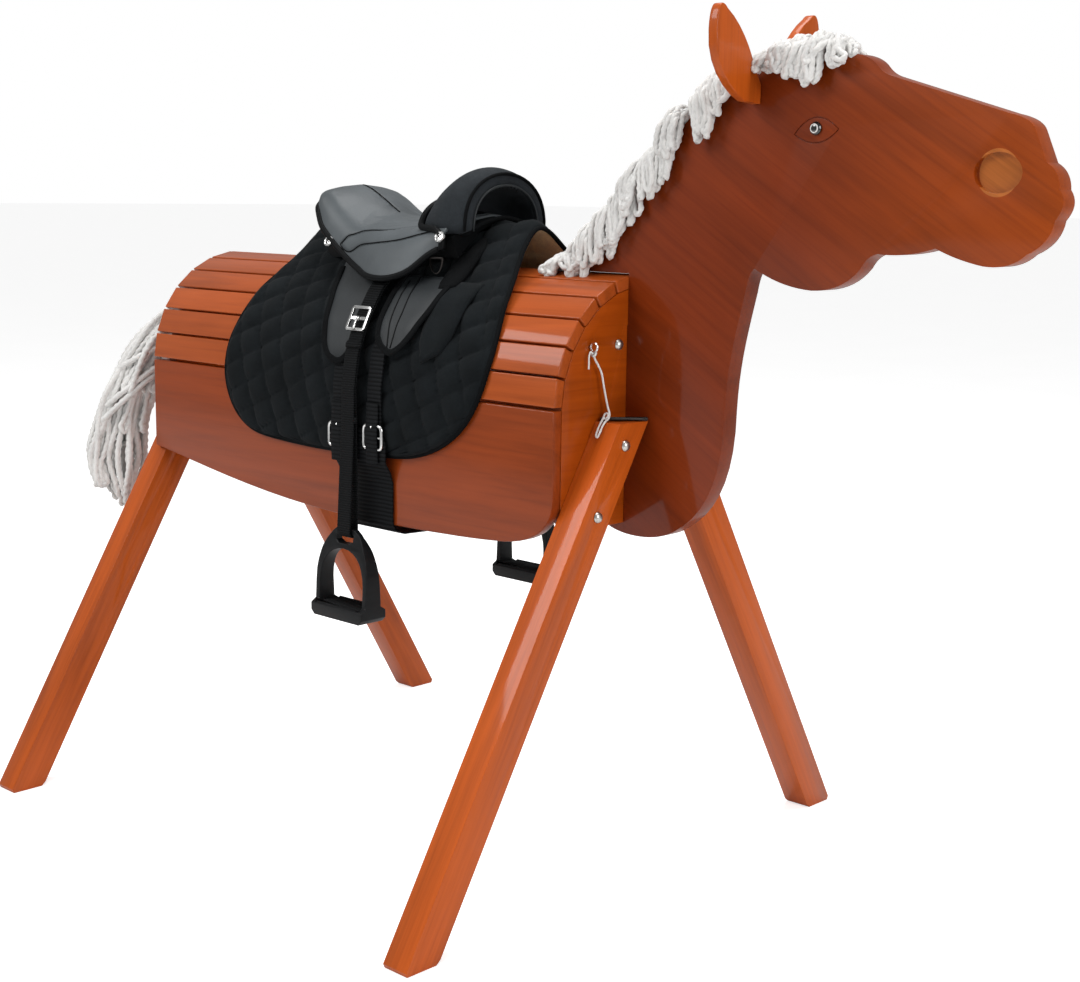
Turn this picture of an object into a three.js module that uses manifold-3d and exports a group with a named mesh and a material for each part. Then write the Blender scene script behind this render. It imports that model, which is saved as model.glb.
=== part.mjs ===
// A wooden horse that holds a saddle: a slatted barrel on four splayed legs, with a flat
// neck and head plate, a yarn mane and tail, and a quilted pad, pony saddle, girth and
// stirrups on its back. Millimetres, +Z up, +X towards the nose, +Y the horse's left.
import * as THREE from 'three';
import { mergeVertices } from 'three/addons/utils/BufferGeometryUtils.js';
import Module from 'manifold-3d';

const wasm = await Module();
wasm.setup();

// ---- driving dimensions ------------------------------------------------------------
const FRAME_SHIFT = -204.69; // puts the middle of the whole length over the origin
const SLAT_LENGTH = 800;
const HALF_LENGTH = SLAT_LENGTH / 2;
const SLAT_PITCH = 37.65;
const SLAT_WIDTH = 34.6;
const SLAT_THICK = 15;
const SLATS_PER_SIDE = 6;
const RIDGE_HEIGHT = 751.5;
const FIRST_TILT = THREE.MathUtils.degToRad(13.2);
const TILT_STEP = THREE.MathUtils.degToRad(13.6);
const GAP = 0.4; // air between parts that rest on each other

const PANEL_THICK = 18;
const REAR_INSET = 16; // the rear panel sits in from the slat ends
const FRONT_BASE = 450;
const REAR_BASE = 472;

const LEG_WIDTH = 52; // level cut across a leaning leg
const LEG_DEPTH = 38;
const LEG_TOP = 579;
const LEG_TOP_OUTER = 67; // outer corner of the leg's top, from the middle
const LEG_FOOT_OUTER = 407;
const FRONT_BOLT_HEIGHTS = [553, 473];
const REAR_BOLT_HEIGHTS = [553, 497];

const PLATE_HALF = 12; // the neck and head plate is 24 mm thick
const TONGUE_BACK = 335;
const TONGUE_TOP = 690;
const BOLT_RADIUS = 4;
const BOLT_HEAD = 7;

const EYE_SPOT = [660, 918];
const NOSTRIL_SPOT = [879, 872];
const EAR_MIDDLE = 580;
const EAR_THICK = 12;

const PAD_LIFT = 1.5; // pad above the slats
const PAD_THICK = 11;
const GIRTH_LIFT = 14.6; // all lifts are measured off the barrel or the tent line
const GIRTH_THICK = 2.4;
const FLAP_THICK = 2.8;
const LEATHER_X = 66;
const LEATHER_WIDTH = 25;
const LEATHER_THICK = 2.2;
const STIRRUP_Y = 168;
const STIRRUP_Z = 411;
const INNER_STRAND = 22.2;
const OUTER_STRAND = 24.8;
const STIRRUP_BAR = [80, 757]; // out from the middle, and height
const BUCKLE_LIFT = 29.3;
const BUCKLE_TILT = THREE.MathUtils.degToRad(26.8);
const D_RING_SPOT = [156, 97, 763];

// ---- finishes ----------------------------------------------------------------------
function finish(color, roughness, metalness = 0) {
  return new THREE.MeshStandardMaterial({ color, roughness, metalness, flatShading: true });
}

const varnishedLight = () => finish(0xb5512a, 0.3);
const varnishedDark = () => finish(0x8a3d1c, 0.32);
const varnishedOrange = () => finish(0xa8460c, 0.32);
const blackCloth = () => finish(0x15181b, 0.9);
const greyVinyl = () => finish(0x3b4145, 0.5);
const blackWebbing = () => finish(0x0c0d0f, 0.85);
const blackPlastic = () => finish(0x17181a, 0.45);
const whiteYarn = () => finish(0xeceae6, 0.95);
const steel = () => finish(0xc9cbce, 0.25, 1);
const darkSteel = () => finish(0x2b2724, 0.45, 1);
const glassBlack = () => finish(0x050505, 0.08);

// ---- geometry helpers --------------------------------------------------------------
const AXIS_X = new THREE.Vector3(1, 0, 0);
const AXIS_Y = new THREE.Vector3(0, 1, 0);
const AXIS_Z = new THREE.Vector3(0, 0, 1);

function shapeOf(points) {
  return new THREE.Shape(points.map(([a, b]) => new THREE.Vector2(a, b)));
}

function circlePath(a, b, radius) {
  return new THREE.Path().absarc(a, b, radius, 0, Math.PI * 2, true);
}

// The same outline as plain points, with its rim and its holes turning opposite ways.
function plainShape(shape, divisions) {
  const { shape: rim, holes } = shape.extractPoints(divisions);
  const turned = (ring, clockwise) => (
    THREE.ShapeUtils.isClockWise(ring) === clockwise ? ring : ring.reverse());
  const plain = new THREE.Shape(turned(rim, false));
  plain.holes = holes.map((hole) => new THREE.Path(turned(hole, true)));
  return plain;
}

// A (y, z) section pushed along X.
function extrudeX(shape, start, end, curveSegments = 6) {
  const options = { depth: end - start, bevelEnabled: false };
  const geometry = new THREE.ExtrudeGeometry(plainShape(shape, curveSegments), options);
  geometry.applyMatrix4(new THREE.Matrix4().makeBasis(AXIS_Y, AXIS_Z, AXIS_X));
  return geometry.translate(start, 0, 0);
}

// An (x, z) outline pushed along Y.
function extrudeY(shape, start, end, curveSegments = 6) {
  const options = { depth: end - start, bevelEnabled: false };
  const geometry = new THREE.ExtrudeGeometry(plainShape(shape, curveSegments), options);
  geometry.applyMatrix4(new THREE.Matrix4().makeBasis(AXIS_X, AXIS_Z, AXIS_Y.clone().negate()));
  return geometry.translate(0, end, 0);
}

function toSolid(geometry) {
  const bare = geometry.clone();
  bare.deleteAttribute('normal');
  bare.deleteAttribute('uv');
  const merged = mergeVertices(bare, 1e-4);
  const vertProperties = new Float32Array(merged.attributes.position.array);
  const triVerts = new Uint32Array(merged.index.array);
  return new wasm.Manifold(new wasm.Mesh({ numProp: 3, vertProperties, triVerts }));
}

function fromSolid(solid) {
  const mesh = solid.getMesh();
  const geometry = new THREE.BufferGeometry();
  geometry.setAttribute('position', new THREE.BufferAttribute(mesh.vertProperties, 3));
  geometry.setIndex(new THREE.BufferAttribute(mesh.triVerts, 1));
  geometry.computeVertexNormals();
  return geometry;
}

function cut(geometry, ...tools) {
  return fromSolid(tools.reduce((solid, tool) => solid.subtract(toSolid(tool)), toSolid(geometry)));
}

function common(geometry, tool) {
  return fromSolid(toSolid(geometry).intersect(toSolid(tool)));
}

function joined(geometry, ...others) {
  return fromSolid(others.reduce((solid, other) => solid.add(toSolid(other)), toSolid(geometry)));
}

function flipFaces(geometry) {
  const { array } = geometry.index;
  for (let i = 0; i < array.length; i += 3) {
    [array[i + 1], array[i + 2]] = [array[i + 2], array[i + 1]];
  }
}

// The same piece for the other flank.
function mirrorY(geometry) {
  const bare = geometry.clone();
  bare.deleteAttribute('normal');
  bare.deleteAttribute('uv');
  const mirrored = mergeVertices(bare, 1e-4);
  mirrored.scale(1, -1, 1);
  flipFaces(mirrored);
  mirrored.computeVertexNormals();
  return mirrored;
}

function signedVolume(geometry) {
  const corner = [new THREE.Vector3(), new THREE.Vector3(), new THREE.Vector3()];
  const { index, attributes } = geometry;
  let volume = 0;
  for (let i = 0; i < index.count; i += 3) {
    corner.forEach((point, k) => point.fromBufferAttribute(attributes.position, index.getX(i + k)));
    volume += corner[0].dot(corner[1].clone().cross(corner[2])) / 6;
  }
  return volume;
}

// Triangles over one flat loop, turning the same way as the loop.
function capTriangles(loop) {
  const normal = new THREE.Vector3();
  loop.forEach((point, i) => normal.add(point.clone().cross(loop[(i + 1) % loop.length])));
  normal.normalize();
  const across = loop[1].clone().sub(loop[0]).normalize();
  const up = normal.clone().cross(across);
  const flat = loop.map((point) => new THREE.Vector2(point.dot(across), point.dot(up)));
  return THREE.ShapeUtils.triangulateShape(flat, []).map(([a, b, c]) => {
    const turn = flat[b].clone().sub(flat[a]).cross(flat[c].clone().sub(flat[a]));
    return turn > 0 ? [a, b, c] : [a, c, b];
  });
}

// A closed solid through loops that all have the same number of points.
function loft(loops) {
  const count = loops[0].length;
  const index = [];
  for (let s = 0; s < loops.length - 1; s += 1) {
    for (let i = 0; i < count; i += 1) {
      const a = s * count + i;
      const b = s * count + ((i + 1) % count);
      index.push(a, b, b + count, a, b + count, a + count);
    }
  }
  capTriangles(loops[0]).forEach(([a, b, c]) => index.push(a, c, b));
  const last = (loops.length - 1) * count;
  capTriangles(loops[loops.length - 1]).forEach(([a, b, c]) => index.push(a + last, b + last, c + last));
  const geometry = new THREE.BufferGeometry().setFromPoints(loops.flat());
  geometry.setIndex(index);
  if (signedVolume(geometry) < 0) flipFaces(geometry);
  geometry.computeVertexNormals();
  return geometry;
}

// A line of [a, b] points moved sideways to its left, with mitred corners. The distance is
// one number, or one for each point.
function offsetLine(points, distance, closed = false) {
  const vectors = points.map(([a, b]) => new THREE.Vector2(a, b));
  const total = vectors.length;
  return vectors.map((point, i) => {
    const before = vectors[closed ? (i + total - 1) % total : Math.max(i - 1, 0)];
    const after = vectors[closed ? (i + 1) % total : Math.min(i + 1, total - 1)];
    const sides = [];
    if (before !== point) sides.push(point.clone().sub(before).normalize());
    if (after !== point) sides.push(after.clone().sub(point).normalize());
    const normals = sides.map((side) => new THREE.Vector2(-side.y, side.x));
    const sum = normals.reduce((total2, normal) => total2.clone().add(normal)).normalize();
    const move = Array.isArray(distance) ? distance[i] : distance;
    const reach = move / Math.max(sum.dot(normals[0]), 0.5);
    return [point.x + sum.x * reach, point.y + sum.y * reach];
  });
}

function latheX(profile, segments = 14) {
  const points = profile.map(([radius, along]) => new THREE.Vector2(radius, along));
  const geometry = new THREE.LatheGeometry(points, segments);
  return geometry.rotateZ(-Math.PI / 2);
}

function tube(points, radius, sides, steps) {
  const curve = new THREE.CatmullRomCurve3(points.map((p) => new THREE.Vector3(...p)));
  const ring = new THREE.Shape();
  ring.absarc(0, 0, radius, 0, Math.PI * 2, false);
  const section = new THREE.Shape(ring.getPoints(sides).slice(0, sides));
  return new THREE.ExtrudeGeometry(section, { steps, extrudePath: curve, curveSegments: 1 });
}

const saddleRack = new THREE.Group();
const frame = new THREE.Group();
frame.position.x = FRAME_SHIFT;
saddleRack.add(frame);

function addPart(name, geometry, material, parent = frame) {
  const mesh = new THREE.Mesh(geometry, material);
  mesh.name = name;
  parent.add(mesh);
  return mesh;
}

const SIDES = [['right', -1], ['left', 1]];

// ---- barrel ------------------------------------------------------------------------
// Half of the barrel's outer arch, as [out from the middle, height], ridge first.
function archHalf() {
  const points = [[0, RIDGE_HEIGHT]];
  for (let k = 0; k < SLATS_PER_SIDE; k += 1) {
    const tilt = FIRST_TILT + k * TILT_STEP;
    const [out, height] = points[k];
    points.push([out + SLAT_PITCH * Math.cos(tilt), height - SLAT_PITCH * Math.sin(tilt)]);
  }
  return points;
}

const ARCH = archHalf();
const BARREL_HALF = ARCH[SLATS_PER_SIDE][0];
const SIDE_TOP = ARCH[SLATS_PER_SIDE][1] - 2.6;

// Half an arch line run from the left foot over the ridge to the right foot.
function bothSides(half) {
  const rest = half.slice(half[0][0] === 0 ? 1 : 0);
  const left = half.map(([out, height]) => [out, height]).reverse();
  return left.concat(rest.map(([out, height]) => [-out, height]));
}

// The end panels fit inside the slats.
function panelShape(base, corner) {
  const whole = offsetLine(bothSides([...ARCH, [BARREL_HALF, base]]), SLAT_THICK + GAP);
  const half = whole.slice(1, ARCH.length + 1).reverse();
  half[0] = [0, half[0][1]];
  const foot = BARREL_HALF - SLAT_THICK - GAP;
  half.push([foot, base + corner]);
  half.push([foot - corner * 0.3, base + corner * 0.3]);
  half.push([foot - corner, base]);
  return bothSides(half);
}

function addSlats() {
  const bevel = SLAT_THICK * Math.tan(TILT_STEP / 2);
  const ridgeBevel = SLAT_THICK * Math.tan(FIRST_TILT) + 0.2;
  for (const [side, sign] of SIDES) {
    for (let k = 0; k < SLATS_PER_SIDE; k += 1) {
      const tilt = FIRST_TILT + k * TILT_STEP;
      const half = SLAT_WIDTH / 2;
      const towardsRidge = k === 0 ? ridgeBevel : bevel;
      const section = shapeOf([
        [sign * half, 0],
        [-sign * half, 0],
        [-sign * (half - towardsRidge), -SLAT_THICK],
        [sign * (half - bevel), -SLAT_THICK],
      ]);
      const geometry = extrudeX(section, -HALF_LENGTH, HALF_LENGTH);
      const slat = addPart(`slat_${side}_${k + 1}`, geometry, varnishedLight());
      const out = (ARCH[k][0] + ARCH[k + 1][0]) / 2;
      slat.position.set(0, sign * out, (ARCH[k][1] + ARCH[k + 1][1]) / 2);
      slat.rotation.x = -sign * tilt;
    }
  }
}

// The wide board under the slats, with its curved belly edge.
function sidePanelShape() {
  const shape = new THREE.Shape();
  shape.moveTo(-HALF_LENGTH, SIDE_TOP);
  shape.lineTo(-HALF_LENGTH, 470);
  shape.bezierCurveTo(-250, 448, -120, 424, 60, 423.5);
  shape.bezierCurveTo(180, 423.5, 270, 427, 322, 432);
  shape.bezierCurveTo(368, 437, HALF_LENGTH, 455, HALF_LENGTH, 489);
  shape.lineTo(HALF_LENGTH, SIDE_TOP);
  return shape;
}

function addSidePanels() {
  const right = extrudeY(sidePanelShape(), -BARREL_HALF, SLAT_THICK - BARREL_HALF, 10);
  addPart('side_panel_right', right, varnishedDark());
  addPart('side_panel_left', mirrorY(right), varnishedDark());
}

// ---- legs --------------------------------------------------------------------------
const LEG_LEAN = (LEG_FOOT_OUTER - LEG_TOP_OUTER) / LEG_TOP;

function legMiddle(height) {
  return LEG_TOP_OUTER - LEG_WIDTH / 2 + (LEG_TOP - height) * LEG_LEAN;
}

function legShape(sign, boltHeights) {
  const round = 5;
  const inner = LEG_FOOT_OUTER - LEG_WIDTH;
  const shape = shapeOf([
    [sign * (LEG_TOP_OUTER - LEG_WIDTH), LEG_TOP],
    [sign * (inner - round * LEG_LEAN), round],
    [sign * (inner + round * 0.6), 0],
    [sign * (LEG_FOOT_OUTER - round), 0],
    [sign * (LEG_FOOT_OUTER - round * LEG_LEAN), round],
    [sign * LEG_TOP_OUTER, LEG_TOP],
  ]);
  for (const height of boltHeights) {
    shape.holes.push(circlePath(sign * legMiddle(height), height, BOLT_RADIUS + 0.3));
  }
  return shape;
}

// A dome-headed bolt along +X from its head's seat back through a grip, with its nut.
function boltGeometry(grip) {
  return latheX([
    [0, -grip - 9],
    [6.2, -grip - 8],
    [6.2, -grip - GAP],
    [BOLT_RADIUS, -grip - GAP],
    [BOLT_RADIUS, GAP],
    [BOLT_HEAD, GAP],
    [BOLT_HEAD * 0.8, 3.2],
    [BOLT_HEAD * 0.4, 4.8],
    [0, 5.2],
  ]);
}

const FRONT_LEG_BACK = HALF_LENGTH + GAP;
const REAR_FACE = -HALF_LENGTH + REAR_INSET;
const REAR_LEG_FRONT = REAR_FACE - GAP;

// The corner of a rear leg that is cut back to let the side panel pass.
function rearLegNotch(sign) {
  const inner = BARREL_HALF - SLAT_THICK - GAP;
  const outer = BARREL_HALF + 10;
  const box = shapeOf([[-HALF_LENGTH - GAP, 465], [-370, 465], [-370, 490], [-HALF_LENGTH - GAP, 490]]);
  return extrudeY(box, Math.min(sign * inner, sign * outer), Math.max(sign * inner, sign * outer));
}

function addLegs() {
  const grip = LEG_DEPTH + GAP + PANEL_THICK;
  for (const [side, sign] of SIDES) {
    const frontShape = legShape(sign, FRONT_BOLT_HEIGHTS);
    const front = extrudeX(frontShape, FRONT_LEG_BACK, FRONT_LEG_BACK + LEG_DEPTH);
    const rearShape = legShape(sign, REAR_BOLT_HEIGHTS);
    const rear = extrudeX(rearShape, REAR_LEG_FRONT - LEG_DEPTH, REAR_LEG_FRONT);
    addPart(`leg_front_${side}`, front, varnishedOrange());
    addPart(`leg_rear_${side}`, cut(rear, rearLegNotch(sign)), varnishedLight());
    ['upper', 'lower'].forEach((place, i) => {
      const frontBolt = addPart(`bolt_front_${side}_${place}`, boltGeometry(grip), steel());
      const frontHeight = FRONT_BOLT_HEIGHTS[i];
      frontBolt.position.set(FRONT_LEG_BACK + LEG_DEPTH, sign * legMiddle(frontHeight), frontHeight);
      const rearBolt = addPart(`bolt_rear_${side}_${place}`, boltGeometry(grip), steel());
      const rearHeight = REAR_BOLT_HEIGHTS[i];
      rearBolt.position.set(REAR_LEG_FRONT - LEG_DEPTH, sign * legMiddle(rearHeight), rearHeight);
      rearBolt.rotation.z = Math.PI;
    });
  }
}

// ---- end panels, cleats and the cord's screw eye ---------------------------------------
const NECK_BOLT = [28, 668];
const SCREW_EYE = [80, 668];

function boltHoles(shape, boltHeights) {
  for (const [, sign] of SIDES) {
    for (const height of boltHeights) {
      shape.holes.push(circlePath(sign * legMiddle(height), height, BOLT_RADIUS + 0.3));
    }
  }
}

function addEndPanels() {
  const outline = panelShape(FRONT_BASE, 32);
  const slot = PLATE_HALF + GAP;
  const front = shapeOf([
    ...outline,
    [-slot, FRONT_BASE],
    [-slot, TONGUE_TOP + GAP],
    [slot, TONGUE_TOP + GAP],
    [slot, FRONT_BASE],
  ]);
  boltHoles(front, FRONT_BOLT_HEIGHTS);
  for (const [, sign] of SIDES) {
    front.holes.push(circlePath(sign * NECK_BOLT[0], NECK_BOLT[1], BOLT_RADIUS + 0.3));
  }
  front.holes.push(circlePath(-SCREW_EYE[0], SCREW_EYE[1], 1.7));
  const frontPanel = extrudeX(front, HALF_LENGTH - PANEL_THICK, HALF_LENGTH);
  addPart('front_panel', frontPanel, varnishedOrange());
  const rear = shapeOf(panelShape(REAR_BASE, 10));
  boltHoles(rear, REAR_BOLT_HEIGHTS);
  addPart('rear_panel', extrudeX(rear, REAR_FACE, REAR_FACE + PANEL_THICK), varnishedLight());
}

// Two blocks behind the front panel grip the plate's tongue.
function addNeckCleats() {
  const near = PLATE_HALF + GAP;
  const far = near + 32;
  const end = HALF_LENGTH - PANEL_THICK - GAP;
  const length = 46;
  for (const [side, sign] of SIDES) {
    const section = shapeOf([[sign * near, 500], [sign * far, 500], [sign * far, 685], [sign * near, 685]]);
    section.holes.push(circlePath(sign * NECK_BOLT[0], NECK_BOLT[1], BOLT_RADIUS + 0.3));
    addPart(`neck_cleat_${side}`, extrudeX(section, end - length, end), varnishedLight());
    const bolt = addPart(`bolt_neck_${side}`, boltGeometry(PANEL_THICK + GAP + length), steel());
    bolt.position.set(HALF_LENGTH, sign * NECK_BOLT[0], NECK_BOLT[1]);
  }
}

function addScrewEye() {
  const ring = new THREE.TorusGeometry(5, 1.3, 8, 18).rotateX(Math.PI / 2).translate(7.5, 0, 0);
  const shank = latheX([[0, -12], [1.3, -10], [1.3, 2.6], [0, 2.6]], 10);
  const eye = addPart('screw_eye', joined(ring, shank), steel());
  eye.position.set(HALF_LENGTH, -SCREW_EYE[0], SCREW_EYE[1]);
}

// ---- retaining pin and its cord -------------------------------------------------------
const PIN_START = [404, -64];
const PIN_END = [441, -18];
const PIN_RADIUS = 2.5;

function addPin() {
  const along = new THREE.Vector2(PIN_END[0] - PIN_START[0], PIN_END[1] - PIN_START[1]);
  const length = along.length();
  const profile = [
    [0, 0],
    [PIN_RADIUS, 0.8],
    [PIN_RADIUS, length - 8],
    [2.1, length - 6.5],
    [PIN_RADIUS, length - 5],
    [PIN_RADIUS, length - 1.5],
    [0, length],
  ];
  const pin = addPart('leg_pin', latheX(profile, 12), darkSteel());
  pin.position.set(PIN_START[0], PIN_START[1], LEG_TOP + GAP + PIN_RADIUS);
  pin.rotation.z = along.angle();
}

// From the screw eye down past the pin, and a small loop that hangs beside the leg's top.
const CORD_ROUTE = [
  [407.5, -80, 661.0],
  [407.8, -79, 655.0],
  [408.0, -73, 647.0],
  [408.4, -67, 637.0],
  [409.0, -64, 624.0],
  [410.0, -61, 610.0],
  [411.6, -58.5, 597.0],
  [414.2, -58, 588.5],
  [416.2, -62, 583.6],
  [416.8, -68, 580.8],
  [417.0, -73.5, 575.5],
  [417.2, -78, 568.5],
  [415.6, -80.5, 563.0],
  [413.0, -80.0, 564.5],
  [412.2, -76.5, 570.5],
  [411.8, -72.0, 576.8],
  [411.2, -67.5, 581.6],
  [410.8, -64.0, 585.0],
];

function addCord() {
  addPart('retaining_cord', tube(CORD_ROUTE, 1.25, 8, 44), whiteYarn());
}

// ---- neck and head plate ---------------------------------------------------------------
function plateShape() {
  const shape = new THREE.Shape();
  shape.moveTo(300, RIDGE_HEIGHT + GAP);
  shape.splineThru([[330, 775], [379, 822], [427, 869], [475, 921], [517, 955], [560, 978], [605, 991]]
    .map(([x, z]) => new THREE.Vector2(x, z)));
  shape.quadraticCurveTo(635, 997, 660, 996);
  shape.lineTo(700, 995);
  shape.quadraticCurveTo(724, 993, 734, 981);
  shape.quadraticCurveTo(741, 973, 752, 970);
  shape.lineTo(888, 930);
  shape.quadraticCurveTo(912, 925, 917, 914);
  shape.lineTo(931, 882);
  shape.quadraticCurveTo(946, 874, 946.5, 856);
  shape.quadraticCurveTo(957, 842, 943.5, 826);
  shape.quadraticCurveTo(940, 803, 915, 792);
  shape.quadraticCurveTo(898, 776, 868, 779);
  shape.quadraticCurveTo(838, 784, 813, 795);
  shape.quadraticCurveTo(778, 784, 744, 787);
  shape.quadraticCurveTo(731, 784, 724, 771);
  shape.quadraticCurveTo(702, 745, 662, 744.5);
  shape.quadraticCurveTo(622, 746, 585, 765);
  shape.quadraticCurveTo(577, 762, 573, 738);
  shape.bezierCurveTo(561, 690, 551, 655, 549, 600);
  shape.bezierCurveTo(549, 520, 525, 475, 478, 449);
  shape.quadraticCurveTo(455, 436, 420, 436);
  shape.quadraticCurveTo(385, 436, 365, 449);
  shape.lineTo(TONGUE_BACK, 470);
  shape.lineTo(TONGUE_BACK, TONGUE_TOP);
  shape.lineTo(HALF_LENGTH + GAP, TONGUE_TOP);
  shape.lineTo(HALF_LENGTH + GAP, RIDGE_HEIGHT + GAP);
  shape.holes.push(circlePath(EYE_SPOT[0], EYE_SPOT[1], 4.3));
  return shape;
}

// An almond outline around the eye, grown or shrunk by a margin.
function almond(margin) {
  const [x, z] = EYE_SPOT;
  const shape = new THREE.Shape();
  shape.moveTo(x - 28 - margin, z - 6);
  shape.quadraticCurveTo(x - 2, z + 27 + margin * 2, x + 29 + margin, z - 1);
  shape.quadraticCurveTo(x + 4, z - 27 - margin * 2, x - 28 - margin, z - 6);
  return shape;
}

function addHeadPlate() {
  const blank = extrudeY(plateShape(), -PLATE_HALF, PLATE_HALF, 9);
  const tools = [];
  const groove = almond(0.9);
  groove.holes.push(almond(-0.9));
  const nostril = new THREE.Shape().absellipse(NOSTRIL_SPOT[0], NOSTRIL_SPOT[1], 27, 20.5, 0, Math.PI * 2);
  for (const sign of [-1, 1]) {
    const faceOut = sign * (PLATE_HALF + 2);
    const recess = sign * (PLATE_HALF - 6.5);
    const scribe = sign * (PLATE_HALF - 1.3);
    tools.push(extrudeY(nostril, Math.min(faceOut, recess), Math.max(faceOut, recess), 12));
    tools.push(extrudeY(groove, Math.min(faceOut, scribe), Math.max(faceOut, scribe), 8));
  }
  addPart('neck_head_plate', cut(blank, ...tools), varnishedDark());
}

function addEyes() {
  const profile = [[0, 0], [3.9, 0.4], [3.9, 10], [7.5, 10], [7.2, 11.6], [5.2, 13.4], [2.7, 14.3], [0, 14.6]];
  for (const [side, sign] of SIDES) {
    const eye = addPart(`eye_${side}`, latheX(profile, 16), glassBlack());
    eye.position.set(EYE_SPOT[0], sign * 2.4, EYE_SPOT[1]);
    eye.rotation.z = sign * Math.PI / 2;
  }
}

// A leaf-shaped board that leans outwards, with its broad face to the front.
function addEars() {
  const root = PLATE_HALF + GAP;
  for (const [side, sign] of SIDES) {
    const shape = new THREE.Shape();
    shape.moveTo(sign * root, 945);
    shape.lineTo(sign * 40, 947);
    shape.bezierCurveTo(sign * 70, 958, sign * 98, 985, sign * 95, 1020);
    shape.quadraticCurveTo(sign * 94, 1042, sign * 87, 1047);
    shape.quadraticCurveTo(sign * 82, 1049, sign * 76, 1043);
    shape.bezierCurveTo(sign * 52, 1030, sign * 34, 1005, sign * 26, 987);
    shape.lineTo(sign * root, 966);
    const board = extrudeX(shape, EAR_MIDDLE - EAR_THICK / 2, EAR_MIDDLE + EAR_THICK / 2, 6);
    addPart(`ear_${side}`, board, varnishedLight());
  }
}

// ---- mane and tail ---------------------------------------------------------------------
// Each row: a crest point [x, z], how far the yarn stands up, and how far it hangs on the
// right and on the left.
const MANE_ROWS = [
  [288, 756, 20, 2, 2],
  [312, 766, 26, 6, 6],
  [345, 789, 26, 26, 22],
  [385, 829, 26, 34, 24],
  [427, 870, 26, 38, 24],
  [470, 917, 26, 42, 24],
  [510, 951, 25, 40, 24],
  [548, 973, 22, 14, 10],
  [580, 985, 20, 2, 2],
  [612, 993, 22, 14, 10],
  [645, 998, 24, 34, 20],
  [680, 998, 20, 22, 14],
  [706, 996, 10, 2, 2],
];

function maneLoop([x, z, rise, dropRight, dropLeft], previous, next) {
  const along = new THREE.Vector2(next[0] - previous[0], next[1] - previous[1]).normalize();
  const inner = PLATE_HALF + 1.2;
  const wideRight = dropRight > 5 ? 34 : PLATE_HALF + 1.5;
  const wideLeft = dropLeft > 5 ? 30 : PLATE_HALF + 1.5;
  const profile = [
    [-wideRight, -dropRight],
    [-wideRight, rise * 0.4],
    [-PLATE_HALF, rise],
    [PLATE_HALF, rise],
    [wideLeft, rise * 0.4],
    [wideLeft, -dropLeft],
    [inner, -dropLeft],
    [inner, 1],
    [-inner, 1],
    [-inner, -dropRight],
  ];
  return profile.map(([y, up]) => new THREE.Vector3(x - along.y * up, y, z + along.x * up));
}

function addMane() {
  const last = MANE_ROWS.length - 1;
  const loops = MANE_ROWS.map((row, i) => (
    maneLoop(row, MANE_ROWS[Math.max(i - 1, 0)], MANE_ROWS[Math.min(i + 1, last)])));
  addPart('mane', loft(loops), whiteYarn());
}

// The tail's middle line with the bundle's half width at each point.
const TAIL_ROWS = [
  [-391, -14, 702, 8],
  [-409, -26, 690, 16],
  [-434, -50, 668, 26],
  [-462, -86, 622, 36],
  [-486, -112, 560, 42],
  [-500, -128, 500, 40],
  [-500, -136, 445, 52],
  [-492, -140, 400, 40],
  [-486, -140, 372, 14],
];

function addTail() {
  const spots = TAIL_ROWS.map(([x, y, z]) => new THREE.Vector3(x, y, z));
  const loops = TAIL_ROWS.map(([, , , half], i) => {
    const along = spots[Math.min(i + 1, spots.length - 1)].clone().sub(spots[Math.max(i - 1, 0)]);
    along.normalize();
    const across = new THREE.Vector3(1, -0.9, 0).cross(along).normalize();
    const deep = across.clone().cross(along).normalize();
    return Array.from({ length: 10 }, (_, k) => {
      const angle = (k / 10) * Math.PI * 2;
      const wide = across.clone().multiplyScalar(Math.cos(angle) * half);
      return spots[i].clone().add(wide).add(deep.clone().multiplyScalar(Math.sin(angle) * half * 0.6));
    });
  });
  addPart('tail', loft(loops), whiteYarn());
}

// ---- saddle pad, girth, saddle ---------------------------------------------------------
// The line that the pad's underside follows: a tent over the ridge, then down the flank.
function padLine(apex, base) {
  const tail = ARCH.slice(4).map(([out, height]) => [out, height]);
  const half = [[0, apex], [16, apex - 9], [101, 704], ...tail, [BARREL_HALF, base]];
  return offsetLine(bothSides(half), -PAD_LIFT);
}

// Everything on the horse's back below a surface that lies a distance off the slats.
function backCore(lift) {
  const rows = 10;
  const loops = Array.from({ length: rows + 1 }, (_, i) => {
    const share = i / rows;
    const line = padLine(786 + 18 * share, 495);
    const face = lift > 0 ? offsetLine(line, -lift) : line;
    return face.map(([y, z]) => new THREE.Vector3(-240 + 545 * share, y, z));
  });
  return loft(loops);
}

function padOutline() {
  const shape = new THREE.Shape();
  shape.moveTo(-176, 850);
  shape.lineTo(-172, 768);
  shape.bezierCurveTo(-176, 735, -212, 680, -219, 620);
  shape.bezierCurveTo(-226, 560, -190, 520, -135, 516);
  shape.bezierCurveTo(-60, 509, 60, 509, 130, 514);
  shape.bezierCurveTo(205, 516, 288, 560, 291, 648);
  shape.bezierCurveTo(291, 690, 268, 730, 250, 765);
  shape.lineTo(228, 850);
  return shape;
}

function addPad() {
  const sheet = cut(backCore(PAD_THICK), backCore(0));
  addPart('saddle_pad', common(sheet, extrudeY(padOutline(), -220, 220, 8)), blackCloth());
}

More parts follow.
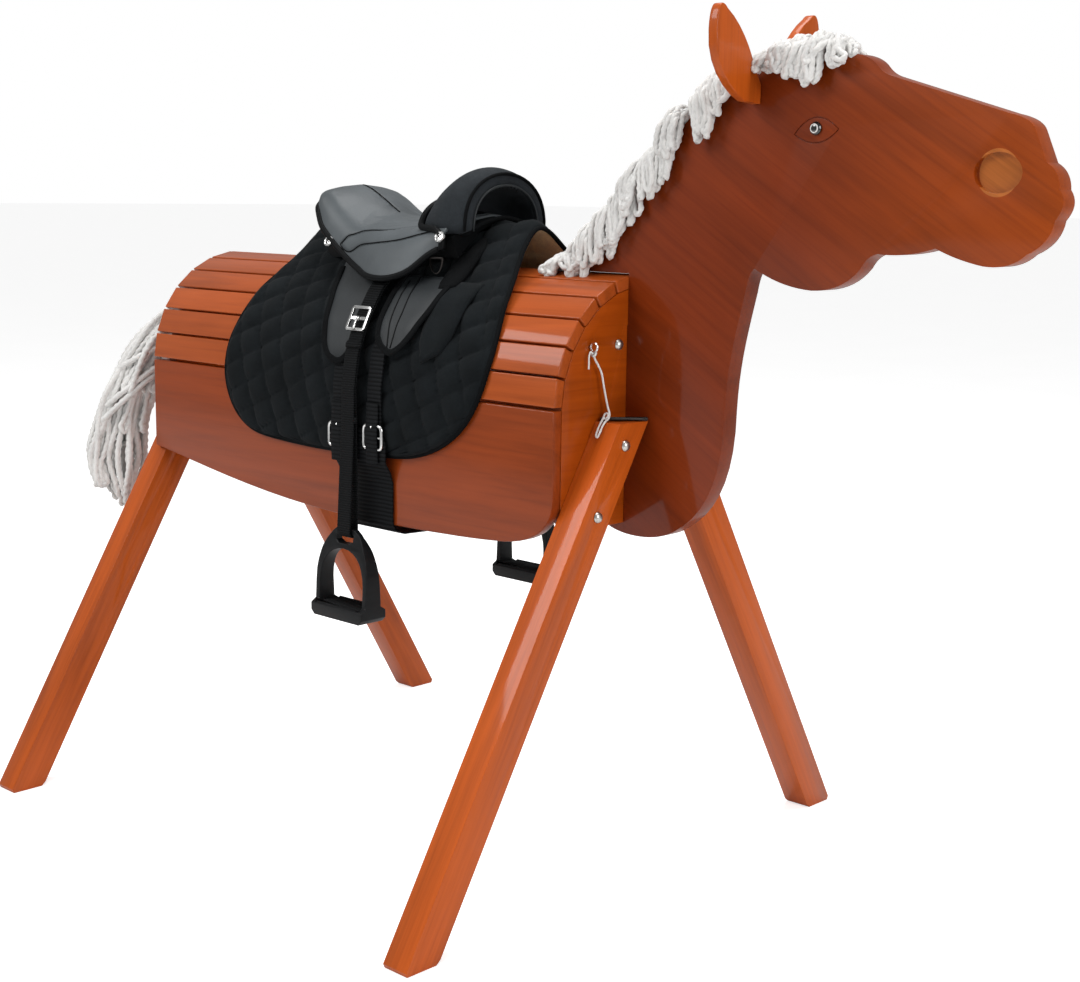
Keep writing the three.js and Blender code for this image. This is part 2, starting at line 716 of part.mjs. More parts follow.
// One loop of strap under the belly, with two narrow straps up each flank.
function girthSection() {
  const flank = ARCH.slice(4).map(([out, height]) => [out, height]);
  const line = offsetLine([...flank, [BARREL_HALF, 506]], GIRTH_LIFT);
  const belly = [[BARREL_HALF + 6, 492], [BARREL_HALF + 1.6, 478], [BARREL_HALF + 1.6, 424],
    [BARREL_HALF - 2.5, 417], [BARREL_HALF - 18, 412.5], [60, 410], [0, 409.5]];
  return [...line, ...belly];
}

function girthOutline() {
  return shapeOf([
    [27, 400], [127, 400], [127, 530], [119, 546], [119, 662], [94, 662], [94, 546],
    [52, 546], [52, 662], [27, 662],
  ]);
}

function addGirth() {
  const half = girthSection();
  const inner = half.map(([out, height]) => [-out, height]).concat(half.slice(0, -1).reverse());
  const outer = offsetLine(inner, -GIRTH_THICK).reverse();
  const band = extrudeX(shapeOf([...inner, ...outer]), 20, 134);
  addPart('girth', common(band, extrudeY(girthOutline(), -200, 200)), blackWebbing());
}

// The flank as the saddle sees it: down the tented pad, then down the barrel's side.
const FLANK = [[30, 773.2], [101, 704], ...ARCH.slice(4), [BARREL_HALF, 560]];

// How far the flaps lie off each point of the flank: close above, over the girth below.
const FLAP_LIFTS = [15.2, 14.6, 17.6, 17.6, 17.6, 17.6];

// The flaps' layer on the right flank as a section, made thicker by a margin on each face.
function flapLayer(margin) {
  const under = offsetLine(FLANK, FLAP_LIFTS.map((lift) => lift - margin));
  const over = offsetLine(FLANK, FLAP_LIFTS.map((lift) => lift + FLAP_THICK + margin));
  return shapeOf([...under, ...over.reverse()].map(([out, height]) => [-out, height]));
}

function flapOutline() {
  const shape = new THREE.Shape();
  shape.moveTo(-56, 784);
  shape.bezierCurveTo(-34, 724, -6, 700, 0, 652);
  shape.quadraticCurveTo(8, 632, 34, 625);
  shape.quadraticCurveTo(52, 632, 60, 660);
  shape.lineTo(92, 664);
  shape.quadraticCurveTo(110, 662, 128, 645);
  shape.bezierCurveTo(165, 660, 182, 695, 186, 765);
  shape.lineTo(114, 765);
  shape.lineTo(100, 737.4);
  shape.lineTo(32, 737.4);
  shape.lineTo(20, 768);
  shape.lineTo(-10, 784);
  return shape;
}

function addFlaps() {
  const sheet = extrudeX(flapLayer(0), -70, 230);
  const right = common(sheet, extrudeY(flapOutline(), -220, -40, 8));
  addPart('flap_right', right, greyVinyl());
  addPart('flap_left', mirrorY(right), greyVinyl());
}

// Stations along the seat: x, then the height of its top at the middle, at the shoulder
// and at the skirt's edge, and how far out the shoulder and the skirt reach.
const SEAT_ROWS = [
  [-114, 842, 836, 826, 46, 58],
  [-104, 852, 844, 822, 60, 74],
  [-84, 850, 838, 797, 66, 84],
  [-50, 834, 815, 774, 72, 90],
  [-15, 815, 797, 755, 78, 96],
  [20, 807, 792, 744, 84, 108],
  [46, 805, 791, 736, 87, 117],
  [85, 807, 793, 735, 88, 117],
  [119, 812, 798, 745, 88, 106],
  [146, 818, 801, 768, 87, 99],
  [172, 816, 800, 778, 84, 93],
];

function seatLoop([x, middle, shoulder, edge, shoulderOut, edgeOut]) {
  const rise = Math.min(20, (shoulder - edge) * 0.4);
  const half = [
    [0, middle],
    [shoulderOut * 0.55, middle - (middle - shoulder) * 0.35],
    [shoulderOut, shoulder],
    [(shoulderOut + edgeOut) / 2 + 2, (shoulder + edge) / 2 + 6],
    [edgeOut, edge],
    [edgeOut - 3.6, edge],
    [edgeOut - 17, edge + rise],
    [edgeOut - 29, edge + rise / 2],
    [edgeOut - 36, edge - 30],
    [12, 720],
  ];
  const other = half.slice(1).reverse().map(([out, height]) => [-out, height]);
  return [...half, ...other].map(([y, z]) => new THREE.Vector3(x, y, z));
}

// The room that a stirrup strap and its bar need under the right skirt.
function strapPocket() {
  const section = [[-66, 751], [-71, 768], [-88, 769], [-104, 759], [-113, 734], [-104, 722], [-84, 726]];
  return extrudeX(shapeOf(section), LEATHER_X - 29, LEATHER_X + 29);
}

// The pommel's outer and inner lines at one station, as a pair of half arches.
function archLine(half, top, base) {
  const steps = 12;
  return Array.from({ length: steps + 1 }, (_, i) => {
    const angle = (Math.PI * i) / steps;
    return [Math.cos(angle) * half, base + Math.sin(angle) ** 0.8 * (top - base)];
  });
}

// x, half width, top, base and thickness of the padded arch.
const POMMEL_ROWS = [
  [112, 80, 838, 792, 22],
  [128, 84, 862, 792, 24],
  [150, 87, 876, 790, 26],
  [170, 80, 874, 792, 22],
  [182, 72, 868, 796, 16],
];

function pommelLoop([x, half, top, base, thick]) {
  const inner = archLine(half - thick, top - thick, base).reverse();
  return [...archLine(half, top, base), ...inner].map(([y, z]) => new THREE.Vector3(x, y, z));
}

// The pommel filled in and carried down, to clear its seating out of the seat.
function pommelRoom([x, half, top, base], i) {
  const reach = i === 0 ? -1.2 : 0;
  const line = offsetLine(archLine(half, top, base), -1.2);
  const loop = [[half + 1.2, base - 20], [half + 1.2, base], ...line.slice(1, -1),
    [-half - 1.2, base], [-half - 1.2, base - 20]];
  return loop.map(([y, z]) => new THREE.Vector3(x + reach, y, z));
}

function addSaddle() {
  const rooms = POMMEL_ROWS.map(pommelRoom);
  const pocket = strapPocket();
  const slot = extrudeX(flapLayer(0.5), -62, 230);
  const seat = loft(SEAT_ROWS.map(seatLoop));
  const tools = [backCore(PAD_THICK + 0.6), loft(rooms), pocket, mirrorY(pocket), slot, mirrorY(slot)];
  addPart('seat', cut(seat, ...tools), greyVinyl());
  addPart('pommel_arch', loft(POMMEL_ROWS.map(pommelLoop)), blackCloth());
}

// ---- stirrups ----------------------------------------------------------------------------
// The strap's closed middle line, as [out, height]: down the inner run, round the stirrup,
// up the outer run and over its bar.
function leatherLine() {
  const inner = offsetLine(FLANK, INNER_STRAND).slice(1, 5);
  const outer = offsetLine(FLANK, OUTER_STRAND).slice(1, 5).reverse();
  const turn = 6.7;
  const bottom = [];
  for (let i = 0; i <= 6; i += 1) {
    const angle = Math.PI + (Math.PI * i) / 6;
    bottom.push([STIRRUP_Y + Math.cos(angle) * turn, STIRRUP_Z + Math.sin(angle) * turn]);
  }
  const [barOut, barHeight] = STIRRUP_BAR;
  const top = [];
  for (let i = 0; i <= 6; i += 1) {
    const angle = THREE.MathUtils.degToRad(46 + 30 * i);
    top.push([barOut + Math.cos(angle) * 3.9, barHeight + Math.sin(angle) * 3.9]);
  }
  const topInner = [[97.4, 738.2]];
  const topOuter = [[98.7, 740.5]];
  const bend = [[162.2, 545]];
  const bendOut = [[167, 545]];
  return [...topInner, ...inner, ...bend, ...bottom, ...bendOut, ...outer, ...topOuter, ...top];
}

function leatherGeometry() {
  const line = leatherLine();
  const outer = offsetLine(line, -LEATHER_THICK / 2, true);
  const inner = offsetLine(line, LEATHER_THICK / 2, true);
  const ring = shapeOf(outer.map(([out, height]) => [-out, height]));
  ring.holes.push(shapeOf(inner.map(([out, height]) => [-out, height])));
  return extrudeX(ring, -LEATHER_WIDTH / 2, LEATHER_WIDTH / 2);
}

function stirrupOutline() {
  const shape = new THREE.Shape();
  shape.moveTo(-18, 3.6);
  shape.lineTo(18, 3.6);
  shape.bezierCurveTo(36, -6, 50, -34, 50, -68);
  shape.lineTo(50, -108);
  shape.lineTo(44, -114);
  shape.lineTo(-44, -114);
  shape.lineTo(-50, -108);
  shape.lineTo(-50, -68);
  shape.bezierCurveTo(-50, -34, -36, -6, -18, 3.6);
  return shape;
}

// The room for the foot, arched at the top.
function footRoom() {
  const shape = new THREE.Shape();
  shape.moveTo(-42, -97);
  shape.lineTo(-42, -66);
  shape.bezierCurveTo(-41, -38, -24, -22, 0, -22);
  shape.bezierCurveTo(24, -22, 41, -38, 42, -66);
  shape.lineTo(42, -97);
  return shape;
}

function stirrupGeometry() {
  const outline = stirrupOutline();
  const strapSlot = shapeOf([[-15, -3.6], [15, -3.6], [16, -12], [10, -15.4], [-10, -15.4], [-16, -12]]);
  outline.holes.push(footRoom(), strapSlot);
  const frameSolid = extrudeY(outline, -24, 24, 7);
  const half = [[-3.6, 10], [-3.6, -5], [-8, -22], [-11, -50], [-13, -93], [-21, -98], [-21, -120]];
  const taper = [...half, ...half.map(([y, z]) => [-y, z]).reverse()];
  return common(frameSolid, extrudeX(shapeOf(taper), -60, 60));
}

// A square frame with a middle bar, lying in the local X and Z directions.
function buckleGeometry() {
  const outer = shapeOf([[-18, -14], [-15, -17], [15, -17], [18, -14], [18, 14], [15, 17], [-15, 17], [-18, 14]]);
  const gapTop = [[-14.2, 2.2], [14.2, 2.2], [14.2, 13.2], [-14.2, 13.2]];
  const gapLow = [[-14.2, -13.2], [14.2, -13.2], [14.2, -2.2], [-14.2, -2.2]];
  outer.holes.push(shapeOf(gapTop), shapeOf(gapLow));
  const plate = extrudeY(outer, -1.5, 1.5);
  const slim = [-1, 1].map((sign) => extrudeX(shapeOf([
    [sign * 1.1, -3], [sign * 3, -3], [sign * 3, 3], [sign * 1.1, 3],
  ]), -4, 4));
  const slimmed = cut(plate, ...slim);
  const waist = [-1, 1].map((sign) => extrudeX(shapeOf([
    [-3, sign * 1.1], [3, sign * 1.1], [3, sign * 3], [-3, sign * 3],
  ]), -4, 4));
  return cut(slimmed, ...waist);
}

// A prong that turns on the buckle's middle bar and lies over the lower rail.
function tongueGeometry() {
  const ring = new THREE.Shape().absarc(0, 0, 3.3, 0, Math.PI * 2, false);
  ring.holes.push(circlePath(0, 0, 1.9));
  const hub = extrudeX(ring, -2, 2, 6);
  const prong = extrudeX(shapeOf([[-3.1, -1], [-2, -1.4], [-2.2, -16.8], [-4.2, -16.8], [-4.4, -4]]), -1.6, 1.6);
  return joined(hub, prong);
}

function dRingGeometry() {
  const bar = latheX([[0, -11], [1.5, -11], [1.5, 11], [0, 11]], 10);
  const points = [];
  for (let i = 0; i <= 8; i += 1) {
    const angle = Math.PI + (Math.PI * i) / 8;
    points.push([Math.cos(angle) * 11, 0, Math.sin(angle) * 19]);
  }
  return joined(bar, tube(points, 1.5, 8, 18));
}

// The fixed bar under the skirt that the strap hangs on.
function stirrupBarGeometry() {
  const [out, height] = STIRRUP_BAR;
  const back = out - 6;
  const route = [[-15.6, -back, height], [-15.6, -out + 2, height], [-14, -out, height],
    [14, -out, height], [15.6, -out + 2, height], [15.6, -back, height]];
  return tube(route, 2.3, 8, 30);
}

function addStirrups() {
  for (const [side, sign] of SIDES) {
    const flank = new THREE.Group();
    flank.position.x = LEATHER_X;
    flank.rotation.z = sign > 0 ? Math.PI : 0;
    frame.add(flank);
    addPart(`stirrup_bar_${side}`, stirrupBarGeometry(), darkSteel(), flank);
    addPart(`stirrup_leather_${side}`, leatherGeometry(), blackWebbing(), flank);
    const stirrup = addPart(`stirrup_${side}`, stirrupGeometry(), blackPlastic(), flank);
    stirrup.position.set(0, -STIRRUP_Y, STIRRUP_Z);
    const buckle = new THREE.Group();
    const [buckleOut, buckleHeight] = offsetLine(FLANK, BUCKLE_LIFT)[2];
    buckle.position.set(0, -buckleOut, buckleHeight);
    buckle.rotation.x = -BUCKLE_TILT;
    flank.add(buckle);
    addPart(`leather_buckle_${side}`, buckleGeometry(), steel(), buckle);
    addPart(`buckle_tongue_${side}`, tongueGeometry(), steel(), buckle);
    const ring = addPart(`d_ring_${side}`, dRingGeometry(), steel());
    ring.position.set(D_RING_SPOT[0], sign * D_RING_SPOT[1], D_RING_SPOT[2]);
  }
}

addSlats();
addSidePanels();
addEndPanels();
addLegs();
addNeckCleats();
addHeadPlate();
addEyes();
addEars();
addScrewEye();
addPin();
addCord();
addMane();
addTail();
addPad();
addGirth();
addFlaps();
addSaddle();
addStirrups();

export default saddleRack;
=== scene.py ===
"""Looks for a wooden horse that carries a pony saddle: varnished wood, yarn, quilted cloth,
grained vinyl, webbing, moulded plastic and metal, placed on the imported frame."""
import math
import random

import bmesh
import bpy
from mathutils import Matrix, Vector, noise


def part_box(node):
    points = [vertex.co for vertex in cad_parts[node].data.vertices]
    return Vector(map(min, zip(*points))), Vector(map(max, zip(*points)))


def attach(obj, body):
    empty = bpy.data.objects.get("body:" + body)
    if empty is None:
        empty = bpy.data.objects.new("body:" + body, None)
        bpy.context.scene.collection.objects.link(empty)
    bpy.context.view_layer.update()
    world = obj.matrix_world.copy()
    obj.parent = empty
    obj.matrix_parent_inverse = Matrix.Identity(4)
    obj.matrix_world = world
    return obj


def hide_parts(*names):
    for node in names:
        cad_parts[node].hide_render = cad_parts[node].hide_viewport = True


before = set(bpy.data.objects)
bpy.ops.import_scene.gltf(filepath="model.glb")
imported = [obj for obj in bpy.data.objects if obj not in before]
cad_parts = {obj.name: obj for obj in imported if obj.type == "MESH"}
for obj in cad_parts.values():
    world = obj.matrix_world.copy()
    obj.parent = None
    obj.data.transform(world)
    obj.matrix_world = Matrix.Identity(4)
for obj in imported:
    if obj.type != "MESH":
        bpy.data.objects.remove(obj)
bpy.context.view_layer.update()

MM = 0.001
ROOT = "horse"
SIDES = (("right", -1), ("left", 1))

_low, _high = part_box("slat_right_1")
BARREL_MIDDLE = (_low.x + _high.x) / 2


def at(x, y, z):
    """A point given in millimetres from the barrel's middle, in the frame's metres."""
    return Vector((BARREL_MIDDLE + x * MM, y * MM, z * MM))


def middle_of(node):
    """The middle of a CAD node's box."""
    low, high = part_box(node)
    return (low + high) / 2


def turns(count):
    """The angles of one full turn in equal steps."""
    return [2 * math.pi * k / count for k in range(count)]


# ---- camera ---------------------------------------------------------------------------
CAMERA_TURN = (43.34, 9.89, 0.78)
CAMERA_PLACE = (1757, -1599, 851)
CAMERA_LENS, CAMERA_SENSOR = 57.93, 36


def add_camera():
    """Looks at the horse's right side from ahead, a little from above."""
    azimuth, pitch, roll = (math.radians(a) for a in CAMERA_TURN)
    forward = Vector((-math.sin(azimuth) * math.cos(pitch), math.cos(azimuth) * math.cos(pitch),
                      -math.sin(pitch)))
    level = Vector((math.cos(azimuth), math.sin(azimuth), 0))
    upright = level.cross(forward)
    right = level * math.cos(roll) + upright * math.sin(roll)
    up = upright * math.cos(roll) - level * math.sin(roll)
    data = bpy.data.cameras.new("camera")
    data.sensor_width = CAMERA_SENSOR
    data.lens = CAMERA_LENS
    camera = bpy.data.objects.new("camera", data)
    turn = Matrix((right, up, -forward)).transposed().to_4x4()
    camera.matrix_world = Matrix.Translation(at(*CAMERA_PLACE)) @ turn
    bpy.context.collection.objects.link(camera)
    bpy.context.scene.camera = camera


# ---- node materials -------------------------------------------------------------------
class Nodes:
    """A small wrapper that builds one procedural material."""

    def __init__(self, name, **settings):
        self.material = bpy.data.materials.new(name)
        self.material.use_nodes = True
        self.tree = self.material.node_tree
        self.shader = self.tree.nodes["Principled BSDF"]
        for key, value in settings.items():
            self.shader.inputs[key.replace("_", " ")].default_value = value
        self.coordinates = self.tree.nodes.new("ShaderNodeTexCoord").outputs["Object"]

    def add(self, kind, inputs=None, **settings):
        node = self.tree.nodes.new(kind)
        for key, value in settings.items():
            setattr(node, key, value)
        for key, value in (inputs or {}).items():
            if isinstance(value, bpy.types.NodeSocket):
                self.tree.links.new(value, node.inputs[key])
            else:
                node.inputs[key].default_value = value
        return node

    def mapped(self, vector, **inputs):
        """The vector moved, turned or stretched."""
        return self.add("ShaderNodeMapping", {"Vector": vector, **inputs}).outputs[0]

    def noise(self, vector, scale, detail=4, roughness=0.55, distortion=0):
        inputs = {"Vector": vector, "Scale": scale, "Detail": detail, "Roughness": roughness,
                  "Distortion": distortion}
        return self.add("ShaderNodeTexNoise", inputs).outputs[0]

    def waves(self, scale, distortion, direction):
        inputs = {"Vector": self.coordinates, "Scale": scale, "Distortion": distortion, "Detail": 1}
        return self.add("ShaderNodeTexWave", inputs, bands_direction=direction).outputs[1]

    def ramp(self, factor, *stops):
        node = self.add("ShaderNodeValToRGB", {0: factor})
        elements = node.color_ramp.elements
        while len(elements) < len(stops):
            elements.new(0.5)
        for element, (position, color) in zip(elements, stops):
            element.position = position
            element.color = (*color, 1)
        return node.outputs[0]

    def shades(self, factor, color, low, high):
        """One color from a darker to a paler shade; low and high are (place, shade)."""
        return self.ramp(factor, *((place, shade(color, amount)) for place, amount in (low, high)))

    def mix(self, factor, first, second, blend="MIX"):
        inputs = {0: factor, 6: first, 7: second}
        return self.add("ShaderNodeMix", inputs, data_type="RGBA", blend_type=blend).outputs[2]

    def math(self, operation, first, second):
        return self.add("ShaderNodeMath", {0: first, 1: second}, operation=operation).outputs[0]

    def spread(self, factor, low, high):
        inputs = {"Value": factor, "To Min": low, "To Max": high}
        return self.add("ShaderNodeMapRange", inputs).outputs[0]

    def bump(self, height, strength, distance, before=None):
        inputs = {"Height": height, "Strength": strength, "Distance": distance}
        if before is not None:
            inputs["Normal"] = before
        return self.add("ShaderNodeBump", inputs).outputs[0]

    def link(self, socket, output):
        self.tree.links.new(output, self.shader.inputs[socket])


def shade(color, factor):
    """The color made darker or paler."""
    return tuple(min(1, channel * factor) for channel in color)


def wood(name, color, rotation=(0, 0, 0), seed=0.0, grain=1.0, deep=0.74, fade=None, routed=None):
    """Stained softwood under gloss varnish, with its grain along the rotated X axis.

    deep is the shade of the grain's darkest lines.
    fade is (from X, to X, color): the stain turns to that color between the two places.
    routed is (middle, radius, color): a round place cut through the stain."""
    m = Nodes(name, Roughness=0.42, Specular_IOR_Level=0.1, Coat_Weight=0.36, Coat_Roughness=0.08,
              Coat_IOR=1.5)
    turned = m.mapped(m.coordinates, Rotation=rotation, Location=(seed, seed * 0.37, seed * 0.71))
    figure = m.noise(m.mapped(turned, Scale=(1.6, 26, 26)), 1.0, 5, 0.6, 0.9)
    pores = m.noise(m.mapped(turned, Scale=(6, 190, 190)), 1.0, 3, 0.6, 0.2)
    cloud = m.noise(turned, 3.2, 3, 0.5, 0.4)

    def figured(tone):
        return m.ramp(figure, (0.30, shade(tone, deep)), (0.5, tone), (0.72, shade(tone, 1.16)))

    stain = figured(color)
    if fade:
        start, end, paler = fade
        across = m.add("ShaderNodeSeparateXYZ", {0: m.coordinates}).outputs[0]
        share = m.add("ShaderNodeMapRange", {"Value": across, "From Min": start, "From Max": end})
        stain = m.mix(share.outputs[0], stain, figured(paler))
    streak = m.ramp(pores, (0.32, (0.62, 0.55, 0.5)), (0.55, (1, 1, 1)))
    streaked = m.mix(0.34 * grain, stain, streak, "MULTIPLY")
    patches = m.ramp(cloud, (0.3, (0.8, 0.76, 0.72)), (0.7, (1.0, 1.0, 1.0)))
    finish = m.mix(0.6, streaked, patches, "MULTIPLY")
    if routed:
        middle, radius, paler = routed
        flat = m.mapped(m.coordinates, Scale=(1, 0, 1))
        apart = m.add("ShaderNodeVectorMath", {0: flat, 1: middle}, operation="DISTANCE")
        inside = m.math("LESS_THAN", apart.outputs["Value"], radius)
        bare = m.shades(pores, paler, (0.3, 0.7), (0.7, 1.0))
        finish = m.mix(m.math("MULTIPLY", inside, 0.85), finish, bare)
    m.link("Base Color", finish)
    m.link("Roughness", m.spread(pores, 0.36, 0.52))
    m.link("Normal", m.bump(pores, 0.12 * grain, 0.0004))
    m.link("Coat Normal", m.bump(m.noise(turned, 9.0, 2, 0.4), 0.10, 0.002))
    return m.material


def grained_vinyl(name, color, roughness=0.42, shine=0.35):
    """Soft vinyl with a fine leather grain, a little paler where it is rubbed."""
    m = Nodes(name, Roughness=roughness, Specular_IOR_Level=shine)
    grain = m.add("ShaderNodeTexVoronoi", {"Vector": m.coordinates, "Scale": 900.0}).outputs[0]
    folds = m.noise(m.coordinates, 38, 3, 0.5)
    cloud = m.noise(m.coordinates, 14, 3, 0.5)
    m.link("Base Color", m.shades(cloud, color, (0.3, 0.82), (0.7, 1.18)))
    m.link("Roughness", m.spread(cloud, roughness - 0.06, roughness + 0.1))
    soft = m.bump(folds, 0.18, 0.003)
    m.link("Normal", m.bump(grain, 0.22, 0.0004, soft))
    return m.material


def woven(name, color, threads=700.0, roughness=0.85, sheen=0.35, strength=0.35):
    """Plain-woven cloth with crossing threads and slight shade changes."""
    m = Nodes(name, Roughness=roughness, Specular_IOR_Level=0.1, Sheen_Weight=sheen,
              Sheen_Roughness=0.45)
    warp, weft, cross = (m.waves(threads, 1.2, direction) for direction in "XZY")
    weave = m.math("MULTIPLY", m.math("ADD", warp, cross), weft)
    base = m.shades(m.noise(m.coordinates, 22, 4, 0.6), color, (0.3, 0.72), (0.72, 1.3))
    flecks = m.shades(m.noise(m.coordinates, 420, 2, 0.6), (1, 1, 1), (0.35, 0.7), (0.65, 1))
    m.link("Base Color", m.mix(0.5, base, flecks, "MULTIPLY"))
    m.link("Normal", m.bump(weave, strength, 0.0005))
    return m.material


def ribbed_webbing(name, color, ribs):
    """Nylon webbing with cross ribs, with painted shade in the rib grooves and a painted sheen on
    the rib tops.
    """
    m = Nodes(name, Roughness=0.62, Specular_IOR_Level=0.08)
    rib = m.waves(ribs, 0.25, "Z")
    thread = m.noise(m.mapped(m.coordinates, Scale=(900, 900, 300)), 1.0, 2, 0.5)
    # painted shade in the rib grooves and a painted sheen on the rib tops, in step with the rib
    # bump
    base = m.shades(rib, color, (0.1, 0.45), (0.7, 1.45))
    flecks = m.shades(thread, (1, 1, 1), (0.3, 0.5), (0.7, 1))
    m.link("Base Color", m.mix(0.35, base, flecks, "MULTIPLY"))
    m.link("Normal", m.bump(rib, 0.55, 0.0012, m.bump(thread, 0.2, 0.0004)))
    return m.material


def cotton_yarn(name, color):
    """Soft white yarn whose plies show as a fine texture."""
    m = Nodes(name, Roughness=0.95, Sheen_Weight=0.12, Sheen_Roughness=0.6, Subsurface_Weight=0.1,
              Subsurface_Scale=0.004, Subsurface_Radius=(1.0, 0.9, 0.8))
    ply = m.noise(m.coordinates, 330, 3, 0.6, 0.6)
    base = m.shades(m.noise(m.coordinates, 26, 3, 0.5), color, (0.25, 0.86), (0.65, 1))
    shadow = m.ramp(ply, (0.3, (0.66, 0.65, 0.64)), (0.6, (1, 1, 1)))
    m.link("Base Color", m.mix(0.35, base, shadow, "MULTIPLY"))
    m.link("Normal", m.bump(ply, 0.7, 0.0012))
    return m.material


def moulded_plastic(name, color):
    """Satin plastic with a fine texture and scuffs."""
    m = Nodes(name, Roughness=0.38, Specular_IOR_Level=0.2)
    scuffs = m.noise(m.mapped(m.coordinates, Scale=(60, 60, 180)), 1.0, 4, 0.6)
    m.link("Base Color", m.shades(scuffs, color, (0.35, 1), (0.78, 1.9)))
    m.link("Roughness", m.spread(scuffs, 0.30, 0.5))
    m.link("Normal", m.bump(m.noise(m.coordinates, 520, 2, 0.5), 0.12, 0.0005))
    return m.material


def metal(name, color, roughness, wear=0.12):
    """Plated or bare metal with fine scratches."""
    m = Nodes(name, Metallic=1.0, Roughness=roughness)
    scratches = m.noise(m.mapped(m.coordinates, Scale=(240, 240, 900)), 1.0, 4, 0.65)
    cloud = m.noise(m.coordinates, 150, 3, 0.6)
    m.link("Base Color", m.shades(cloud, color, (0.3, 0.78), (0.6, 1)))
    m.link("Roughness", m.spread(scratches, roughness, roughness + wear))
    m.link("Normal", m.bump(scratches, 0.05, 0.0003))
    return m.material


def polished_glass(name, color):
    """Black glass with a little depth."""
    m = Nodes(name, Roughness=0.04, Coat_Weight=1.0, Coat_Roughness=0.02, IOR=1.55)
    m.link("Base Color", m.shades(m.noise(m.coordinates, 160, 2, 0.5), color, (0.4, 1), (0.8, 2.2)))
    return m.material


# ---- mesh helpers ---------------------------------------------------------------------
def piece_from(name, vertices, faces):
    """A smooth-shaded mesh object whose faces all look outwards."""
    mesh = bpy.data.meshes.new(name)
    mesh.from_pydata([tuple(v) for v in vertices], [], faces)
    mesh.update()
    obj = bpy.data.objects.new(name, mesh)
    bpy.context.collection.objects.link(obj)
    work = bmesh.new()
    work.from_mesh(mesh)
    bmesh.ops.recalc_face_normals(work, faces=work.faces)
    work.to_mesh(mesh)
    work.free()
    mesh.polygons.foreach_set("use_smooth", [True] * len(mesh.polygons))
    return obj


def place(obj, material, slot, body=ROOT, nodes=()):
    """Gives a piece its material and body, and hides the CAD nodes it stands for. The slot is not
    used.
    """
    obj.data.materials.clear()
    obj.data.materials.append(material)
    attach(obj, body)
    if nodes:
        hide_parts(*nodes)
    return obj


def apply_modifiers(obj):
    """Replaces an object's mesh with what its modifiers make of it."""
    graph = bpy.context.evaluated_depsgraph_get()
    mesh = bpy.data.meshes.new_from_object(obj.evaluated_get(graph))
    obj.modifiers.clear()
    obj.data = mesh


def cad_copy(node, name):
    """A separate copy of a CAD mesh, without the extra edges on its flat faces."""
    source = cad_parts[node]
    mesh = source.data.copy()
    obj = bpy.data.objects.new(name, mesh)
    bpy.context.collection.objects.link(obj)
    work = bmesh.new()
    work.from_mesh(mesh)
    bmesh.ops.remove_doubles(work, verts=work.verts, dist=1e-6)
    bmesh.ops.dissolve_limit(work, angle_limit=math.radians(0.5), verts=work.verts,
                             edges=work.edges)
    work.to_mesh(mesh)
    work.free()
    return obj


def softened(node, kind, material, slot, body=ROOT, width=1.2, segments=2, angle=28):
    """The CAD piece again with its edges rounded over, which stands for it."""
    obj = cad_copy(node, f"{node}_{kind}")
    bevel = obj.modifiers.new("edges", "BEVEL")
    bevel.width = width * MM
    bevel.segments = segments
    bevel.limit_method = "ANGLE"
    bevel.angle_limit = math.radians(angle)
    apply_modifiers(obj)
    mesh = obj.data
    mesh.polygons.foreach_set("use_smooth", [True] * len(mesh.polygons))
    mesh.set_sharp_from_angle(angle=math.radians(32))
    return place(obj, material, slot, body, (node,))


def subdivided(obj):
    """Smooths a mesh by one round of subdivision."""
    modifier = obj.modifiers.new("smooth", "SUBSURF")
    modifier.levels = modifier.render_levels = 1
    apply_modifiers(obj)


def four_at(items, i):
    """An item with the one before it and the two after it, repeating the ends."""
    return [items[min(max(i + k, 0), len(items) - 1)] for k in (-1, 0, 1, 2)]


def eased(p, t):
    """The Catmull-Rom value between the middle two of four values."""
    return 0.5 * (2 * p[1] + (p[2] - p[0]) * t + (2 * p[0] - 5 * p[1] + 4 * p[2] - p[3]) * t * t
                  + (3 * p[1] - 3 * p[2] + p[3] - p[0]) * t ** 3)


def smooth_line(points, steps):
    """A Catmull-Rom line through points, with some steps in each stretch."""
    line = [eased(four_at(points, i), step / steps)
            for i in range(len(points) - 1) for step in range(steps)]
    return line + [points[-1].copy()]


def beside(points, i):
    """The points before and after one, or the point itself at an end."""
    return points[max(i - 1, 0)], points[min(i + 1, len(points) - 1)]


def heading(a, b):
    """The direction from one (out, height) point to another."""
    return Vector((b[0] - a[0], b[1] - a[1])).normalized()


def skin(faces, start, rings, count, closed=False):
    """Adds the faces of a tube of rings of vertices, with caps at its ends unless it is closed."""
    for i in range(rings if closed else rings - 1):
        ring, following = start + i * count, start + (i + 1) % rings * count
        for k in range(count):
            n = (k + 1) % count
            faces.append((ring + k, ring + n, following + n, following + k))
    if not closed:
        last = start + (rings - 1) * count
        faces.append(tuple(range(start, start + count)))
        faces.append(tuple(reversed(range(last, last + count))))


def sweep(name, points, normals, section, closed=False):
    """A solid with one section along a line. Section points are (across, out) in metres."""
    total = len(points)
    vertices, faces = [], []
    for i, point in enumerate(points):
        before, after = (points[i - 1], points[(i + 1) % total]) if closed else beside(points, i)
        along = (after - before).normalized()
        side = along.cross(normals[i]).normalized()
        out = side.cross(along).normalized()
        vertices += [point + side * a + out * b for a, b in section]
    skin(faces, 0, total, len(section), closed)
    return piece_from(name, vertices, faces)


def round_section(radius, sides=10, flat=1.0):
    """A round or flattened section for a sweep."""
    return [(math.cos(angle) * radius, math.sin(angle) * radius * flat) for angle in turns(sides)]


